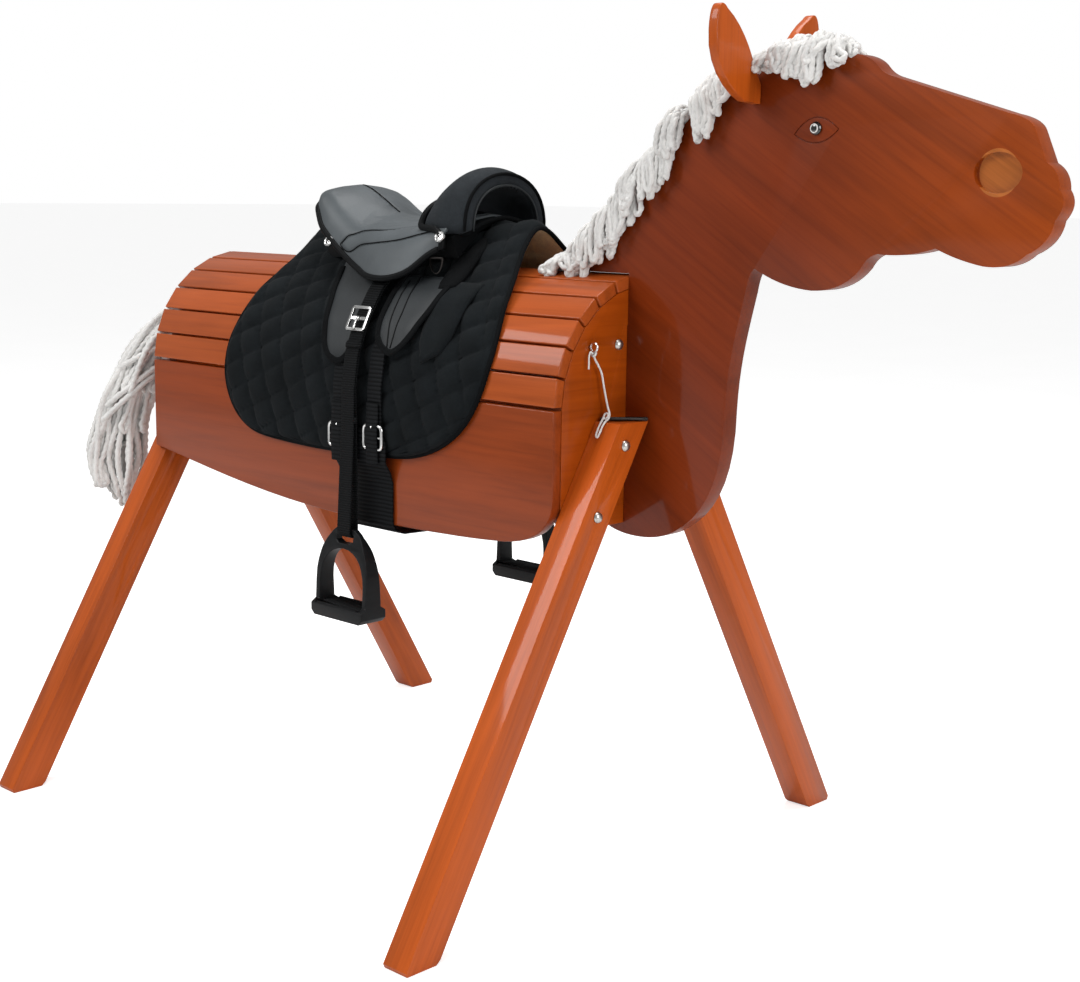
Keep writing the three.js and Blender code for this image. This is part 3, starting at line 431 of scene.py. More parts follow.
def strap_section(width, thick):
    """A flat section with cut corners and a slightly domed face, for a sweep."""
    w, t = width / 2, thick / 2
    c = t * 0.6
    return [(w, -t + c), (w, t - c), (w - c, t), (w * 0.4, t * 1.03), (-w * 0.4, t * 1.03),
            (-w + c, t), (-w, t - c), (-w, -t + c), (-w + c, -t), (-w * 0.4, -t), (w * 0.4, -t),
            (w - c, -t)]


def join_pieces(name, pieces):
    """Joins mesh objects into the first of them and names it."""
    bpy.ops.object.select_all(action="DESELECT")
    for piece in pieces:
        piece.select_set(True)
    bpy.context.view_layer.objects.active = pieces[0]
    bpy.ops.object.join()
    pieces[0].name = name
    return pieces[0]


def lathe(name, profile, spot, axis, sides):
    """A turned piece from (radius, along) points in metres, along an axis."""
    turn = axis.to_track_quat("Z", "Y").to_matrix()
    vertices = [spot + turn @ Vector((math.cos(angle) * radius, math.sin(angle) * radius, along))
                for radius, along in profile for angle in turns(sides)]
    faces = []
    skin(faces, 0, len(profile), sides)
    obj = piece_from(name, vertices, faces)
    obj.data.set_sharp_from_angle(angle=math.radians(40))
    return obj


# ---- finishes -------------------------------------------------------------------------
SLAT_STAIN = (0.38, 0.074, 0.012)
PANEL_STAIN = (0.27, 0.046, 0.007)
END_STAIN = (0.34, 0.056, 0.002)
LEG_STAIN = (0.50, 0.090, 0.008)
HEAD_STAIN = (0.19, 0.027, 0.003)
MUZZLE_STAIN = (0.37, 0.062, 0.002)

PAD_CLOTH = woven("pad_cloth", (0.0062, 0.0080, 0.0092), 620, 0.9, 0.02, 0.25)
BINDING = woven("binding_tape", (0.0028, 0.0033, 0.0038), 800, 0.9, 0.0, 0.3)
FLEECE = woven("pad_lining", (0.62, 0.50, 0.27), 260, 0.95, 0.3, 0.5)
POMMEL_CLOTH = woven("pommel_cloth", (0.022, 0.026, 0.030), 900, 0.8, 0.04, 0.45)
SEAT_VINYL = grained_vinyl("seat_vinyl", (0.068, 0.078, 0.084), 0.44)
FLAP_VINYL = grained_vinyl("flap_vinyl", (0.015, 0.018, 0.020), 0.5)
DARK_VINYL = grained_vinyl("piping_vinyl", (0.0030, 0.0034, 0.0038), 0.5, 0.08)
WEBBING = ribbed_webbing("strap_webbing", (0.0045, 0.005, 0.0055), 105.0)
GIRTH_WEBBING = ribbed_webbing("girth_webbing", (0.006, 0.0066, 0.0075), 60)
PLASTIC = moulded_plastic("stirrup_plastic", (0.004, 0.0044, 0.005))
RUBBER = woven("tread_rubber", (0.016, 0.016, 0.017), 300, 0.9, 0.0, 0.5)
YARN = cotton_yarn("cotton_yarn", (0.74, 0.73, 0.71))
BRIGHT = metal("nickel_plate", (0.83, 0.83, 0.82), 0.16)
DARK_METAL = metal("dark_steel", (0.045, 0.040, 0.038), 0.38)
BOLT_METAL = metal("zinc_bolt", (0.62, 0.60, 0.57), 0.28)
EYE_GLASS = polished_glass("black_glass", (0.004, 0.004, 0.004))


# ---- cord -----------------------------------------------------------------------------
CORD_ROUTE = (
    (407.5, -80, 661.0), (407.8, -79, 655.0), (408.0, -73, 647.0), (408.4, -67, 637.0),
    (409.0, -64, 624.0), (410.0, -61, 610.0), (411.6, -58.5, 597.0), (414.2, -58, 588.5),
    (416.2, -62, 583.6), (416.8, -68, 580.8), (417.0, -73.5, 575.5), (417.2, -78, 568.5),
    (415.6, -80.5, 563.0), (413.0, -80.0, 564.5), (412.2, -76.5, 570.5), (411.8, -72.0, 576.8),
    (411.2, -67.5, 581.6), (410.8, -64.0, 585.0))
CORD_DIAMETER = 0.0025
CORD_KNOTS = (((407.6, -80.2, 660.5), 2.6), ((411.8, -61.5, 586.0), 3.2))
CORD_TAIL = ((407.4, -82, 661), (407.2, -86, 663), (406.8, -88, 657), (406.4, -87.5, 649),
             (406.8, -88.5, 643))


def line_length(points):
    """The length of a line of Vectors."""
    return sum((b - a).length for a, b in zip(points, points[1:]))


def add_cord():
    """The white cord from the screw eye to its small loop, with its knots and loose end."""
    line = smooth_line([at(*p) for p in CORD_ROUTE], 6)
    ahead = Vector((1, 0, 0))
    cord = sweep("retaining_cord_line", line, [ahead] * len(line), round_section(CORD_DIAMETER / 2))
    place(cord, YARN, "white_yarn", ROOT, ("retaining_cord",))
    for i, (spot, size) in enumerate(CORD_KNOTS):
        ring = [at(*spot) + Vector((math.cos(a), math.sin(a) * 0.6, math.sin(a))) * size * MM
                for a in turns(14)]
        wrap = sweep(f"cord_knot_{i + 1}", ring, [Vector((0.3, 0.8, -0.5))] * len(ring),
                     round_section(1.4 * MM, 8), closed=True)
        place(wrap, YARN, "white_yarn")
    tail = smooth_line([at(*p) for p in CORD_TAIL], 6)
    end = sweep("cord_tail", tail, [ahead] * len(tail), round_section(1.1 * MM, 8))
    place(end, YARN, "white_yarn")


# ---- woodwork and hard parts ----------------------------------------------------------
LEG_SPLAY = 30.5
MUZZLE_FADE = (640, 1000)
NOSTRIL_SPOT = (879, 0, 872)
NOSTRIL_STAIN = (0.50, 0.150, 0.030)
# The part, its kind, material, slot and body, then its edges' width, steps and least angle.
HARD_PARTS = (("stirrup_bar", "metal", DARK_METAL, "dark_steel", "strap", (0.4, 2, 50)),
              ("d_ring", "metal", DARK_METAL, "dark_steel", "ring", (0.3, 2, 50)),
              ("buckle_tongue", "metal", BRIGHT, "bright_steel", "prong", (0.4, 2, 40)),
              ("leather_buckle", "metal", BRIGHT, "bright_steel", "strap", (1.1, 3, 40)),
              ("stirrup", "plastic", PLASTIC, "black_plastic", "stirrup", (2.2, 4, 30)))


def add_board(node, slot, stain, turn=(0, 0, 0), seed=0.0, width=1.2, segments=3, **look):
    """One board with rounded edges and its own grain."""
    material = wood(f"wood_{node}", stain, turn, seed, **look)
    softened(node, "wood", material, slot, width=width, segments=segments)


def add_woodwork():
    """Slats, panels, legs, cleats, ears and the head, each cut from its own piece of wood."""
    upright = math.radians(90)
    for side, sign in SIDES:
        for k in range(1, 7):
            tone = 1.0 + 0.05 * math.sin(k * 2.3 + sign)
            add_board(f"slat_{side}_{k}", "varnished_light", shade(SLAT_STAIN, tone),
                      seed=k * 1.7 + sign, width=1.4)
        add_board(f"side_panel_{side}", "varnished_dark", PANEL_STAIN, seed=4.1 + sign, width=1.6,
                  grain=0.8)
        for end, slot, tone in (("front", "orange", 1), ("rear", "light", 0.92)):
            add_board(f"leg_{end}_{side}", f"varnished_{slot}", shade(LEG_STAIN, tone),
                      (-sign * math.radians(LEG_SPLAY), upright, 0), 2.9 * sign + len(end), 2.0)
        add_board(f"neck_cleat_{side}", "varnished_light", LEG_STAIN, (0, upright, 0), 7.3 + sign,
                  segments=2)
        add_board(f"ear_{side}", "varnished_light", shade(LEG_STAIN, 0.95), (0, upright, 0),
                  9.1 + sign, 1.6)
    add_board("front_panel", "varnished_orange", END_STAIN, (0, 0, upright), 5.5, 1.4)
    add_board("rear_panel", "varnished_light", LEG_STAIN, (0, 0, upright), 6.5, segments=2)
    add_board("neck_head_plate", "varnished_dark", HEAD_STAIN, (0, math.radians(-32), 0), 11.3, 2.2,
              grain=1.1, deep=0.78, fade=(*(at(x, 0, 0).x for x in MUZZLE_FADE), MUZZLE_STAIN),
              routed=(tuple(at(*NOSTRIL_SPOT)), 24 * MM, NOSTRIL_STAIN))


def add_metalwork():
    """Bolts, eyes and the hard parts of the tack."""
    for side, _ in SIDES:
        bolts = [f"bolt_{end}_{side}_{level}"
                 for end in ("front", "rear") for level in ("upper", "lower")]
        for node in (*bolts, f"bolt_neck_{side}"):
            softened(node, "metal", BOLT_METAL, "bright_steel", width=0.5, angle=35)
        softened(f"eye_{side}", "glass", EYE_GLASS, "black_glass", width=0.4, angle=50)
        for node, kind, material, slot, body, edges in HARD_PARTS:
            softened(f"{node}_{side}", kind, material, slot, f"{body}_{side}", *edges)
    softened("screw_eye", "metal", BRIGHT, "bright_steel", width=0.2, angle=60)
    softened("leg_pin", "metal", DARK_METAL, "dark_steel", width=0.4, angle=50)


# ---- the horse's back and flank -------------------------------------------------------
SLAT_PITCH = 37.65
ARCH_TOP = 751.5
ARCH_TILT, ARCH_STEP = 13.2, 13.6
BACK_REAR, BACK_FRONT = -240, 305
BACK_POINTS = 121
MIDDLE_STATION = 30
PAD_LIFT = 1.8
FLANK_FOOT = 495


def arch_line():
    """The slats' middle line from the ridge down, as (out, height)."""
    points = [(0.0, ARCH_TOP)]
    for k in range(6):
        tilt = math.radians(ARCH_TILT + ARCH_STEP * k)
        out, height = points[-1]
        points.append((out + SLAT_PITCH * math.cos(tilt), height - SLAT_PITCH * math.sin(tilt)))
    return points


ARCH = arch_line()
BARREL_HALF = ARCH[6][0]


def even_line(points, count):
    """The same line through evenly spaced points."""
    lengths = [0.0]
    for a, b in zip(points, points[1:]):
        lengths.append(lengths[-1] + math.dist(a, b))
    line, i = [], 0
    for k in range(count):
        reach = lengths[-1] * k / (count - 1)
        while i < len(points) - 2 and lengths[i + 1] < reach:
            i += 1
        t = (reach - lengths[i]) / (lengths[i + 1] - lengths[i])
        line.append(tuple(a + (b - a) * t for a, b in zip(points[i], points[i + 1])))
    return line


def relaxed(points, rounds):
    """The line with its corners eased and its ends kept."""
    for _ in range(rounds):
        inner = [tuple((a + 2 * b + c) / 4 for a, b, c in zip(*three))
                 for three in zip(points, points[1:], points[2:])]
        points = [points[0], *inner, points[-1]]
    return points


def lifted(points, lifts):
    """An (out, height) line that runs downwards, moved outwards by a distance at each point."""
    line = []
    for i, (out, height) in enumerate(points):
        run = heading(*beside(points, i))
        line.append((out - run.y * lifts[i], height + run.x * lifts[i]))
    return line


def interpolated(table, key):
    """The value at a key from rising (key, value) pairs."""
    if key <= table[0][0]:
        return table[0][1]
    for (a, first), (b, second) in zip(table, table[1:]):
        if key <= b:
            return first + (second - first) * (key - a) / max(b - a, 1e-9)
    return table[-1][1]


def x_at(edge, height):
    """Where an edge, a list of (x, height) running downwards, is at a height."""
    return interpolated([(-z, x) for x, z in edge], -height)


def ridge_height(x):
    """How high the pad lies over the ridge at a station; it climbs towards the withers."""
    return 786 + 18 * (x - BACK_REAR) / (BACK_FRONT - BACK_REAR)


def back_half(x):
    """The pad's resting line over the back at one station, ridge to foot."""
    apex = ridge_height(x)
    half = [(0, apex), (16, apex - 9), (101, 704), *ARCH[4:], (BARREL_HALF, FLANK_FOOT)]
    mirrored = [(-out, height) for out, height in reversed(half)] + half[1:]
    whole = relaxed(even_line(mirrored, BACK_POINTS * 2 - 1), 6)
    return whole[BACK_POINTS - 1:]


REAR_HALF, FRONT_HALF = back_half(BACK_REAR), back_half(BACK_FRONT)
BACK_LENGTH = sum(math.dist(a, b) for a, b in zip(REAR_HALF, REAR_HALF[1:]))


def back_spot(x, side, reach, lift):
    """A point over the back: its station, its side, how far down from the ridge, and its lift.

    Gives the point and its height in millimetres."""
    share = (x - BACK_REAR) / (BACK_FRONT - BACK_REAR)
    t = min(max(reach / BACK_LENGTH, 0), 0.9999) * (BACK_POINTS - 1)
    i = int(t)
    here, there = (tuple(a + (b - a) * share for a, b in zip(REAR_HALF[k], FRONT_HALF[k]))
                   for k in (i, i + 1))
    run = heading(here, there)
    out = here[0] + (there[0] - here[0]) * (t - i) - run.y * lift
    height = here[1] + (there[1] - here[1]) * (t - i) + run.x * lift
    if reach < 12 and lift > 0:
        out *= 1 - 0.25 * (1 - reach / 12)
    return at(x, side * out, height), height


def back_height(reach):
    """The back's height at a distance down from the ridge, at the pad's middle station."""
    return back_spot(MIDDLE_STATION, 1, reach, 0)[1]


class Flank:
    """A layer that lies on the right or left flank, at a lift off each corner of the tent line."""

    CORNERS = [(30, 773.2), (101, 704), *ARCH[4:], (BARREL_HALF, 505)]

    def __init__(self, *lifts):
        full = list(lifts) + [lifts[-1]] * (len(self.CORNERS) - len(lifts))
        self.line = relaxed(even_line(lifted(self.CORNERS, full), 90), 5)

    def spot(self, x, side, height, extra=0.0):
        """The point at a station and height, moved outwards by some extra."""
        line = self.line
        i = 0
        while i < len(line) - 2 and line[i + 1][1] > height:
            i += 1
        here, there = line[i], line[i + 1]
        t = (height - here[1]) / (there[1] - here[1])
        run = heading(here, there)
        out = here[0] + (there[0] - here[0]) * t - run.y * extra
        return at(x, side * out, height + run.x * extra)

    def normal(self, side, height):
        """The direction straight out of the layer at a height."""
        a, b = self.spot(0, side, height + 4), self.spot(0, side, height - 4)
        run = (b - a).normalized()
        return Vector((0, -run.z * side, run.y * side)).normalized()


def bezier_line(*points, steps=10):
    """Points along joined cubic curves, given as a start and three points for each curve."""
    line = [points[0]]
    for i in range(0, len(points) - 1, 3):
        p0, p1, p2, p3 = points[i:i + 4]
        for k in range(1, steps + 1):
            t = k / steps
            weights = ((1 - t) ** 3, 3 * t * (1 - t) ** 2, 3 * t * t * (1 - t), t ** 3)
            line.append(tuple(sum(w * p[axis] for w, p in zip(weights, (p0, p1, p2, p3)))
                              for axis in (0, 1)))
    return line


def slab(name, under, over):
    """A closed solid from two grids of points of the same size, one on each face."""
    rows, columns = len(under), len(under[0])
    vertices = [p for row in under for p in row] + [p for row in over for p in row]
    lift = rows * columns
    faces = []
    for r in range(rows - 1):
        for c in range(columns - 1):
            a, b = r * columns + c, r * columns + c + 1
            d, e = a + columns, b + columns
            faces.append((a, b, e, d))
            faces.append((a + lift, d + lift, e + lift, b + lift))
    rim = [(0, c) for c in range(columns)] + [(r, columns - 1) for r in range(1, rows)]
    rim += [(rows - 1, c) for c in range(columns - 2, -1, -1)]
    rim += [(r, 0) for r in range(rows - 2, 0, -1)]
    for (r1, c1), (r2, c2) in zip(rim, rim[1:] + rim[:1]):
        a, b = r1 * columns + c1, r2 * columns + c2
        faces.append((a, a + lift, b + lift, b))
    return piece_from(name, vertices, faces)


def plate_on(name, flank, side, edges, thick, rows, columns, crown):
    """A plate on a flank between two edges, each a list of (x, height) from top to bottom."""
    left, right = edges
    top = min(left[0][1], right[0][1])
    foot = max(left[-1][1], right[-1][1])
    under, over = [], []
    for r in range(rows + 1):
        t = r / rows
        z = top + (foot - top) * (1 - (1 - t) ** 1.5)
        a, b = x_at(left, z), x_at(right, z)
        low, high = [], []
        for c in range(columns + 1):
            u = c / columns
            x = a + (b - a) * u
            edge = min(1.0, 6 * min(u, 1 - u), 6 * min(t + 0.02, 1.02 - t))
            low.append(flank.spot(x, side, z))
            high.append(flank.spot(x, side, z, thick * (0.55 + 0.45 * edge) + crown * edge))
        under.append(low)
        over.append(high)
    return slab(name, under, over)


def trim_on(name, flank, side, edge, lift, width, thick):
    """Tape along (x, height) points on a flank."""
    count = max(8, int(sum(math.dist(a, b) for a, b in zip(edge, edge[1:])) / 5))
    line = relaxed(even_line(edge, count), 2)
    spots = [flank.spot(x, side, z, lift) for x, z in line]
    normals = [flank.normal(side, z) for _, z in line]
    return sweep(name, spots, normals, strap_section(width * MM, thick * MM))


def tube_into(vertices, faces, points, radius, sides, lay=0.0):
    """Adds a tube along points to a mesh's lists, its frame carried along the line.

    With a lay, the length of one full twist, it is two strands laid round each other."""
    reach = 0.0
    start = len(vertices)
    side = (points[1] - points[0]).normalized().orthogonal().normalized()
    for i, point in enumerate(points):
        before, after = beside(points, i)
        run = (after - before).normalized()
        side = (side - run * side.dot(run)).normalized()
        up = run.cross(side)
        thick = radius * (0.72 if i in (0, len(points) - 1) else 1.0)
        reach += (point - before).length
        turn = 2 * math.pi * reach / lay if lay else 0.0
        for angle in turns(sides):
            lobe = 0.66 + 0.44 * abs(math.cos(angle - turn)) if lay else 1.0
            vertices.append(point + (side * math.cos(angle) + up * math.sin(angle)) * thick * lobe)
    skin(faces, start, len(points), sides)


def tube_piece(name, points, radius, sides=8):
    """A tube along points as its own object."""
    vertices, faces = [], []
    tube_into(vertices, faces, points, radius, sides)
    return piece_from(name, vertices, faces)


def inflate(obj, held, pressure, cap, frames=14):
    """Swells a closed mesh by cloth simulation, holding some vertices and capping the rest."""
    group = obj.vertex_groups.new(name="held")
    group.add(sorted(held), 1.0, "REPLACE")
    cloth = obj.modifiers.new("cloth", "CLOTH")
    settings = cloth.settings
    settings.quality = 4
    settings.mass = 0.25
    settings.tension_stiffness = settings.compression_stiffness = 12
    settings.bending_stiffness = 0.6
    settings.use_pressure = True
    settings.uniform_pressure_force = pressure
    settings.vertex_group_mass = "held"
    settings.effector_weights.gravity = 0
    cloth.point_cache.frame_start = 1
    cloth.point_cache.frame_end = frames
    for step in range(1, frames + 1):
        bpy.context.scene.frame_set(step)
    graph = bpy.context.evaluated_depsgraph_get()
    swollen = obj.evaluated_get(graph).data
    for vertex, moved in zip(obj.data.vertices, swollen.vertices):
        shift = moved.co - vertex.co
        if shift.length > cap:
            shift *= cap / shift.length
        vertex.co += shift
    obj.modifiers.clear()
    obj.vertex_groups.clear()
    bpy.context.scene.frame_set(1)


# ---- saddle pad -----------------------------------------------------------------------
PAD_REAR_EDGE = [(-176, 850)] + bezier_line((-172, 768), (-176, 735), (-212, 680), (-219, 620),
                                            (-226, 560), (-190, 520), (-135, 516),
                                            (-95, 512.5), (-45, 511), (-10, 510.6))
PAD_FRONT_EDGE = [(228, 850)] + list(reversed(bezier_line(
    (10, 510.6), (55, 511), (95, 512.5), (130, 514), (205, 516), (288, 560), (291, 648),
    (291, 690), (268, 730), (250, 765))))
PAD_FOOT = 510.6
PAD_COLUMNS = 148
QUILT_ANGLE = math.radians(22)
QUILT_STEPS = (40, 34)


def quilt_height(x, reach):
    """How full the pad is at a spot, from 0 on a stitch line to 1 in a cell's middle."""
    up = -reach
    u = (x * math.cos(QUILT_ANGLE) + up * math.sin(QUILT_ANGLE)) / QUILT_STEPS[0] + 0.3
    v = (-x * math.sin(QUILT_ANGLE) + up * math.cos(QUILT_ANGLE)) / QUILT_STEPS[1] + 0.2
    return (abs(math.sin(math.pi * u)) * abs(math.sin(math.pi * v))) ** 0.32


def quilt_runs():
    """The stitch lines on one side of the pad, each a list of (x, reach)."""
    cos, sin = math.cos(QUILT_ANGLE), math.sin(QUILT_ANGLE)
    lines = []
    for k in range(-12, 16):
        lines.append([(((k - 0.3) * QUILT_STEPS[0] + reach * sin) / cos, reach)
                      for reach in range(2, 352, 5)])
        lines.append([(x, -((k - 0.2) * QUILT_STEPS[1] + x * sin) / cos)
                      for x in range(-230, 296, 5)])
    runs = []
    for line in lines:
        run = []
        for x, reach in line:
            inside = 1 < reach < 350
            if inside:
                height = back_height(reach)
                rear, front = x_at(PAD_REAR_EDGE, height), x_at(PAD_FRONT_EDGE, height)
                inside = rear + 4 < x < front - 4 and height > 514
            if inside:
                run.append((x, reach))
            if not inside or (x, reach) == line[-1]:
                if len(run) > 3:
                    runs.append(run)
                run = []
    return runs


def add_quilting():
    """The pad's stitch lines, as thread on its face, darker than the cloth, which also paints shade
    into the stitched grooves.
    """
    vertices, faces = [], []
    for run in quilt_runs():
        for side in (-1, 1):
            spots = [back_spot(x, side, reach, PAD_LIFT + 4.3)[0] for x, reach in run]
            tube_into(vertices, faces, spots, 1.15 * MM, 5)
    # the near-black thread colour is partly the real thread and partly painted shade in the
    # stitched grooves
    place(piece_from("saddle_pad_stitching", vertices, faces), BINDING, "black_webbing")


def pad_reaches():
    """Distances down from the ridge for the pad's rows, closer together at the bottom edge."""
    reaches, reach = [], 0.0
    while back_height(reach) > 522:
        reaches.append(reach)
        reach += 3.3
    for height in (519.5, 516.6, 514.3, 512.6, 511.6, 510.9):
        while back_height(reach) > height:
            reach += 0.2
        reaches.append(reach)
    return reaches


def add_pad():
    """The quilted pad over the back, swollen between its stitch lines, with a bound edge."""
    reaches = pad_reaches()
    rows = [(-1, r) for r in reversed(reaches[1:])] + [(1, r) for r in reaches]
    count = len(rows) * (PAD_COLUMNS + 1)
    under, over, held = [], [], set(range(count))
    edge_rear, edge_front = [], []
    for r, (side, reach) in enumerate(rows):
        height = back_height(reach)
        rear, front = x_at(PAD_REAR_EDGE, height), x_at(PAD_FRONT_EDGE, height)
        low, high = [], []
        for c in range(PAD_COLUMNS + 1):
            x = rear + (front - rear) * c / PAD_COLUMNS
            inset = min(x - rear, front - x, (height - PAD_FOOT) * 1.2)
            rim = min(1.0, max(inset, 0.0) / 12)
            full = quilt_height(x, reach)
            thick = 3.0 + (0.8 + 7.6 * full) * rim ** 0.6
            low.append(back_spot(x, side, reach, PAD_LIFT)[0])
            high.append(back_spot(x, side, reach, PAD_LIFT + thick)[0])
            if full < 0.55 or inset < 9:
                held.add(count + r * (PAD_COLUMNS + 1) + c)
        under.append(low)
        over.append(high)
        edge_rear.append((rear, side, reach))
        edge_front.append((front, side, reach))
    pad = slab("saddle_pad_quilt", under, over)
    inflate(pad, held, 3.0, 4.2 * MM)
    place(pad, PAD_CLOTH, "pad_cloth", ROOT, ("saddle_pad",))
    pad.data.materials.append(FLEECE)
    for polygon in pad.data.polygons:
        if all(v < count for v in polygon.vertices):
            polygon.material_index = 1
    ring = []
    for x, side, reach in edge_rear + edge_front[::-1]:
        spot = back_spot(x, side, reach, PAD_LIFT + 1.6)[0]
        if not ring or (spot - ring[-1]).length > 0.002:
            ring.append(spot)
    ring = even_ring(ring, 6 * MM)
    middle = sum(ring, Vector()) / len(ring)
    normals = [Vector((0, p.y - middle.y, 0.05)).normalized() for p in ring]
    section = round_section(3.8 * MM, 10, 0.75)
    tape = sweep("saddle_pad_binding", ring, normals, section, closed=True)
    place(tape, BINDING, "black_webbing")
    add_quilting()


def even_ring(points, step):
    """A closed line of Vectors resampled evenly and eased."""
    closed = points + [points[0]]
    count = max(12, int(line_length(closed) / step))
    line = [Vector(p) for p in even_line([tuple(p) for p in closed], count)][:-1]
    for _ in range(3):
        line = [(line[i - 1] + line[i] * 2 + line[(i + 1) % len(line)]) / 4
                for i in range(len(line))]
    return line


# ---- seat and pommel ------------------------------------------------------------------
# x, heights of the middle, shoulder and edge, and how far out the shoulder and edge reach.
SEAT_ROWS = ((-114, 842, 836, 826, 46, 58), (-104, 852, 844, 822, 60, 74),
             (-84, 850, 838, 797, 66, 84), (-50, 834, 815, 774, 72, 90),
             (-15, 815, 797, 755, 78, 96), (20, 807, 792, 744, 84, 108),
             (46, 805, 791, 736, 87, 117), (85, 807, 793, 735, 88, 119),
             (119, 812, 798, 745, 88, 112), (146, 818, 801, 768, 87, 99),
             (172, 816, 800, 778, 84, 93))
SEAT_REAR, SEAT_FRONT = -114, 161
ROSETTE_SPOTS = ((-60, 91, 777), (162, 97, 789))
ROSETTE_PROFILE = ((7.6, -1.5), (7.8, 0.4), (7.3, 1.6), (6.0, 2.2), (5.5, 1.5), (3.0, 2.1),
                   (0.3, 2.4))
# x, the arch's half width, its top and base, and how thick it is.
POMMEL_ROWS = ((112, 80, 838, 792, 22), (128, 84, 862, 792, 24), (150, 87, 876, 790, 26),
               (170, 80, 874, 792, 22), (182, 72, 868, 796, 16))


def row_at(rows, x):
    """A row of numbers at a station, eased between the rows."""
    i = 0
    while i < len(rows) - 2 and rows[i + 1][0] < x:
        i += 1
    picked = four_at(rows, i)
    t = (x - picked[1][0]) / (picked[2][0] - picked[1][0])
    return [eased(p, t) for p in zip(*picked)]


def seat_line(x, count=25, inward=0.0):
    """The seat's top from the right skirt's edge to the left, as Vectors."""
    _, middle, shoulder, edge, shoulder_out, edge_out = row_at(SEAT_ROWS, x)
    half = [(0, middle), (shoulder_out * 0.55, middle - (middle - shoulder) * 0.35),
            (shoulder_out, shoulder),
            ((shoulder_out + edge_out) / 2 + 2, (shoulder + edge) / 2 + 6), (edge_out, edge)]
    dense = relaxed(even_line(half, count), 4)
    both = [(-out, height) for out, height in reversed(dense)] + dense[1:]
    line = []
    for i, (out, height) in enumerate(both):
        run = heading(*beside(both, i))
        line.append(at(x, out + run.y * inward, height - run.x * inward))
    return line


def seat_spot(x, out, lift=0.0):
    """The point on the seat's top at a distance out, on the side that its sign says."""
    line = seat_line(x, 60)
    for a, b in zip(line, line[1:]):
        if min(a.y, b.y) <= out * MM <= max(a.y, b.y):
            run = (b - a).normalized()
            spot = a + (b - a) * ((out * MM - a.y) / (b.y - a.y))
            return spot + Vector((0, -run.z, run.y)) * lift * MM
    return line[0] if out < 0 else line[-1]


def pressed(obj, lines, depth, width):
    """Sinks a sewn channel into a mesh along lines of Vectors."""
    for line in lines:
        low = Vector((min(p[k] for p in line) - width for k in range(3)))
        high = Vector((max(p[k] for p in line) + width for k in range(3)))
        for vertex in obj.data.vertices:
            co = vertex.co
            if all(low[k] <= co[k] <= high[k] for k in range(3)):
                near = min((co - p).length for p in line)
                if near < width:
                    vertex.co -= vertex.normal * depth * (1 - near / width) ** 0.8


def fine_line(points, step=1.6):
    """Vectors resampled closely."""
    count = max(4, int(line_length(points) / (step * MM)))
    return [Vector(p) for p in even_line([tuple(p) for p in points], count)]


def seat_seams():
    """The seat's sewn lines: one down the cantle and two on each side."""
    seams = [fine_line([seat_spot(x, 0) for x in range(-96, -16, 6)])]
    shares = [k / 24 for k in range(25)]
    for sign in (-1, 1):
        long = [seat_spot(-38 + 186 * t, sign * (90 + 6 * math.sin(math.pi * t ** 0.8)))
                for t in shares]
        rise = [seat_spot(-38 + 148 * t, sign * (90 - 38 * t)) for t in shares]
        seams += [fine_line(long), fine_line(rise)]
    return seams


def add_seat():
    """The seat's soft vinyl cover with its seams, over a dark body."""
    top, low = [], []
    steps = 104
    for k in range(steps + 1):
        x = -118 + (SEAT_FRONT + 118) * k / steps
        inside = max(x, SEAT_REAR)
        shrink = 1.0 if x >= -112 else 0.93
        middle = at(inside, 0, 815)
        offset = Vector(((x - inside) * MM, 0, 0))
        for rows, inward in ((top, 0.0), (low, 4.5)):
            rows.append([middle + (p - middle) * shrink + offset
                         for p in seat_line(inside, 30, inward)])
    cover = slab("seat_cover", low, top)
    columns = len(top[0])
    count = len(top) * columns
    held = set(range(count))
    for r in range(len(top)):
        for c in range(columns):
            if r < 3 or r > len(top) - 4 or c < 3 or c > columns - 4:
                held.add(count + r * columns + c)
    inflate(cover, held, 1.6, 2.4 * MM, 10)
    subdivided(cover)
    seams = seat_seams()
    pressed(cover, seams, 1.6 * MM, 2.8 * MM)
    vertices, faces = [], []
    for seam in seams:
        tube_into(vertices, faces, [p - Vector((0, 0, 0.4 * MM)) for p in seam[::2]], 0.8 * MM, 6)
    place(piece_from("seat_seams", vertices, faces), DARK_VINYL, "black_webbing")
    place(cover, SEAT_VINYL, "grey_vinyl", ROOT, ("seat",))
    add_seat_core()
    add_seat_trim()


def add_seat_core():
    """The dark body under the cover, down to the pad."""
    vertices, faces = [], []
    stations = range(-112, 173, 8)
    for x in stations:
        _, middle, shoulder, edge, shoulder_out, edge_out = row_at(SEAT_ROWS, x)
        tuck = 0.84 if -30 < x < 150 else 0.94
        base = ridge_height(x)
        right = [(shoulder_out * 0.6, middle - 12), (shoulder_out - 8, shoulder - 9),
                 (edge_out * tuck - 6, edge + 12), (min(edge_out * 0.75, 70), base - 36),
                 (34, base - 4)]
        left = [(-out, height) for out, height in reversed(right)]
        vertices += [at(x, out, height) for out, height in
                     ((0, middle - 9), *right, (0, base + 9), *left)]
    skin(faces, 0, len(stations), len(vertices) // len(stations))
    core = piece_from("seat_core", vertices, faces)
    core.data.set_sharp_from_angle(angle=math.radians(40))
    place(core, DARK_VINYL, "black_webbing")


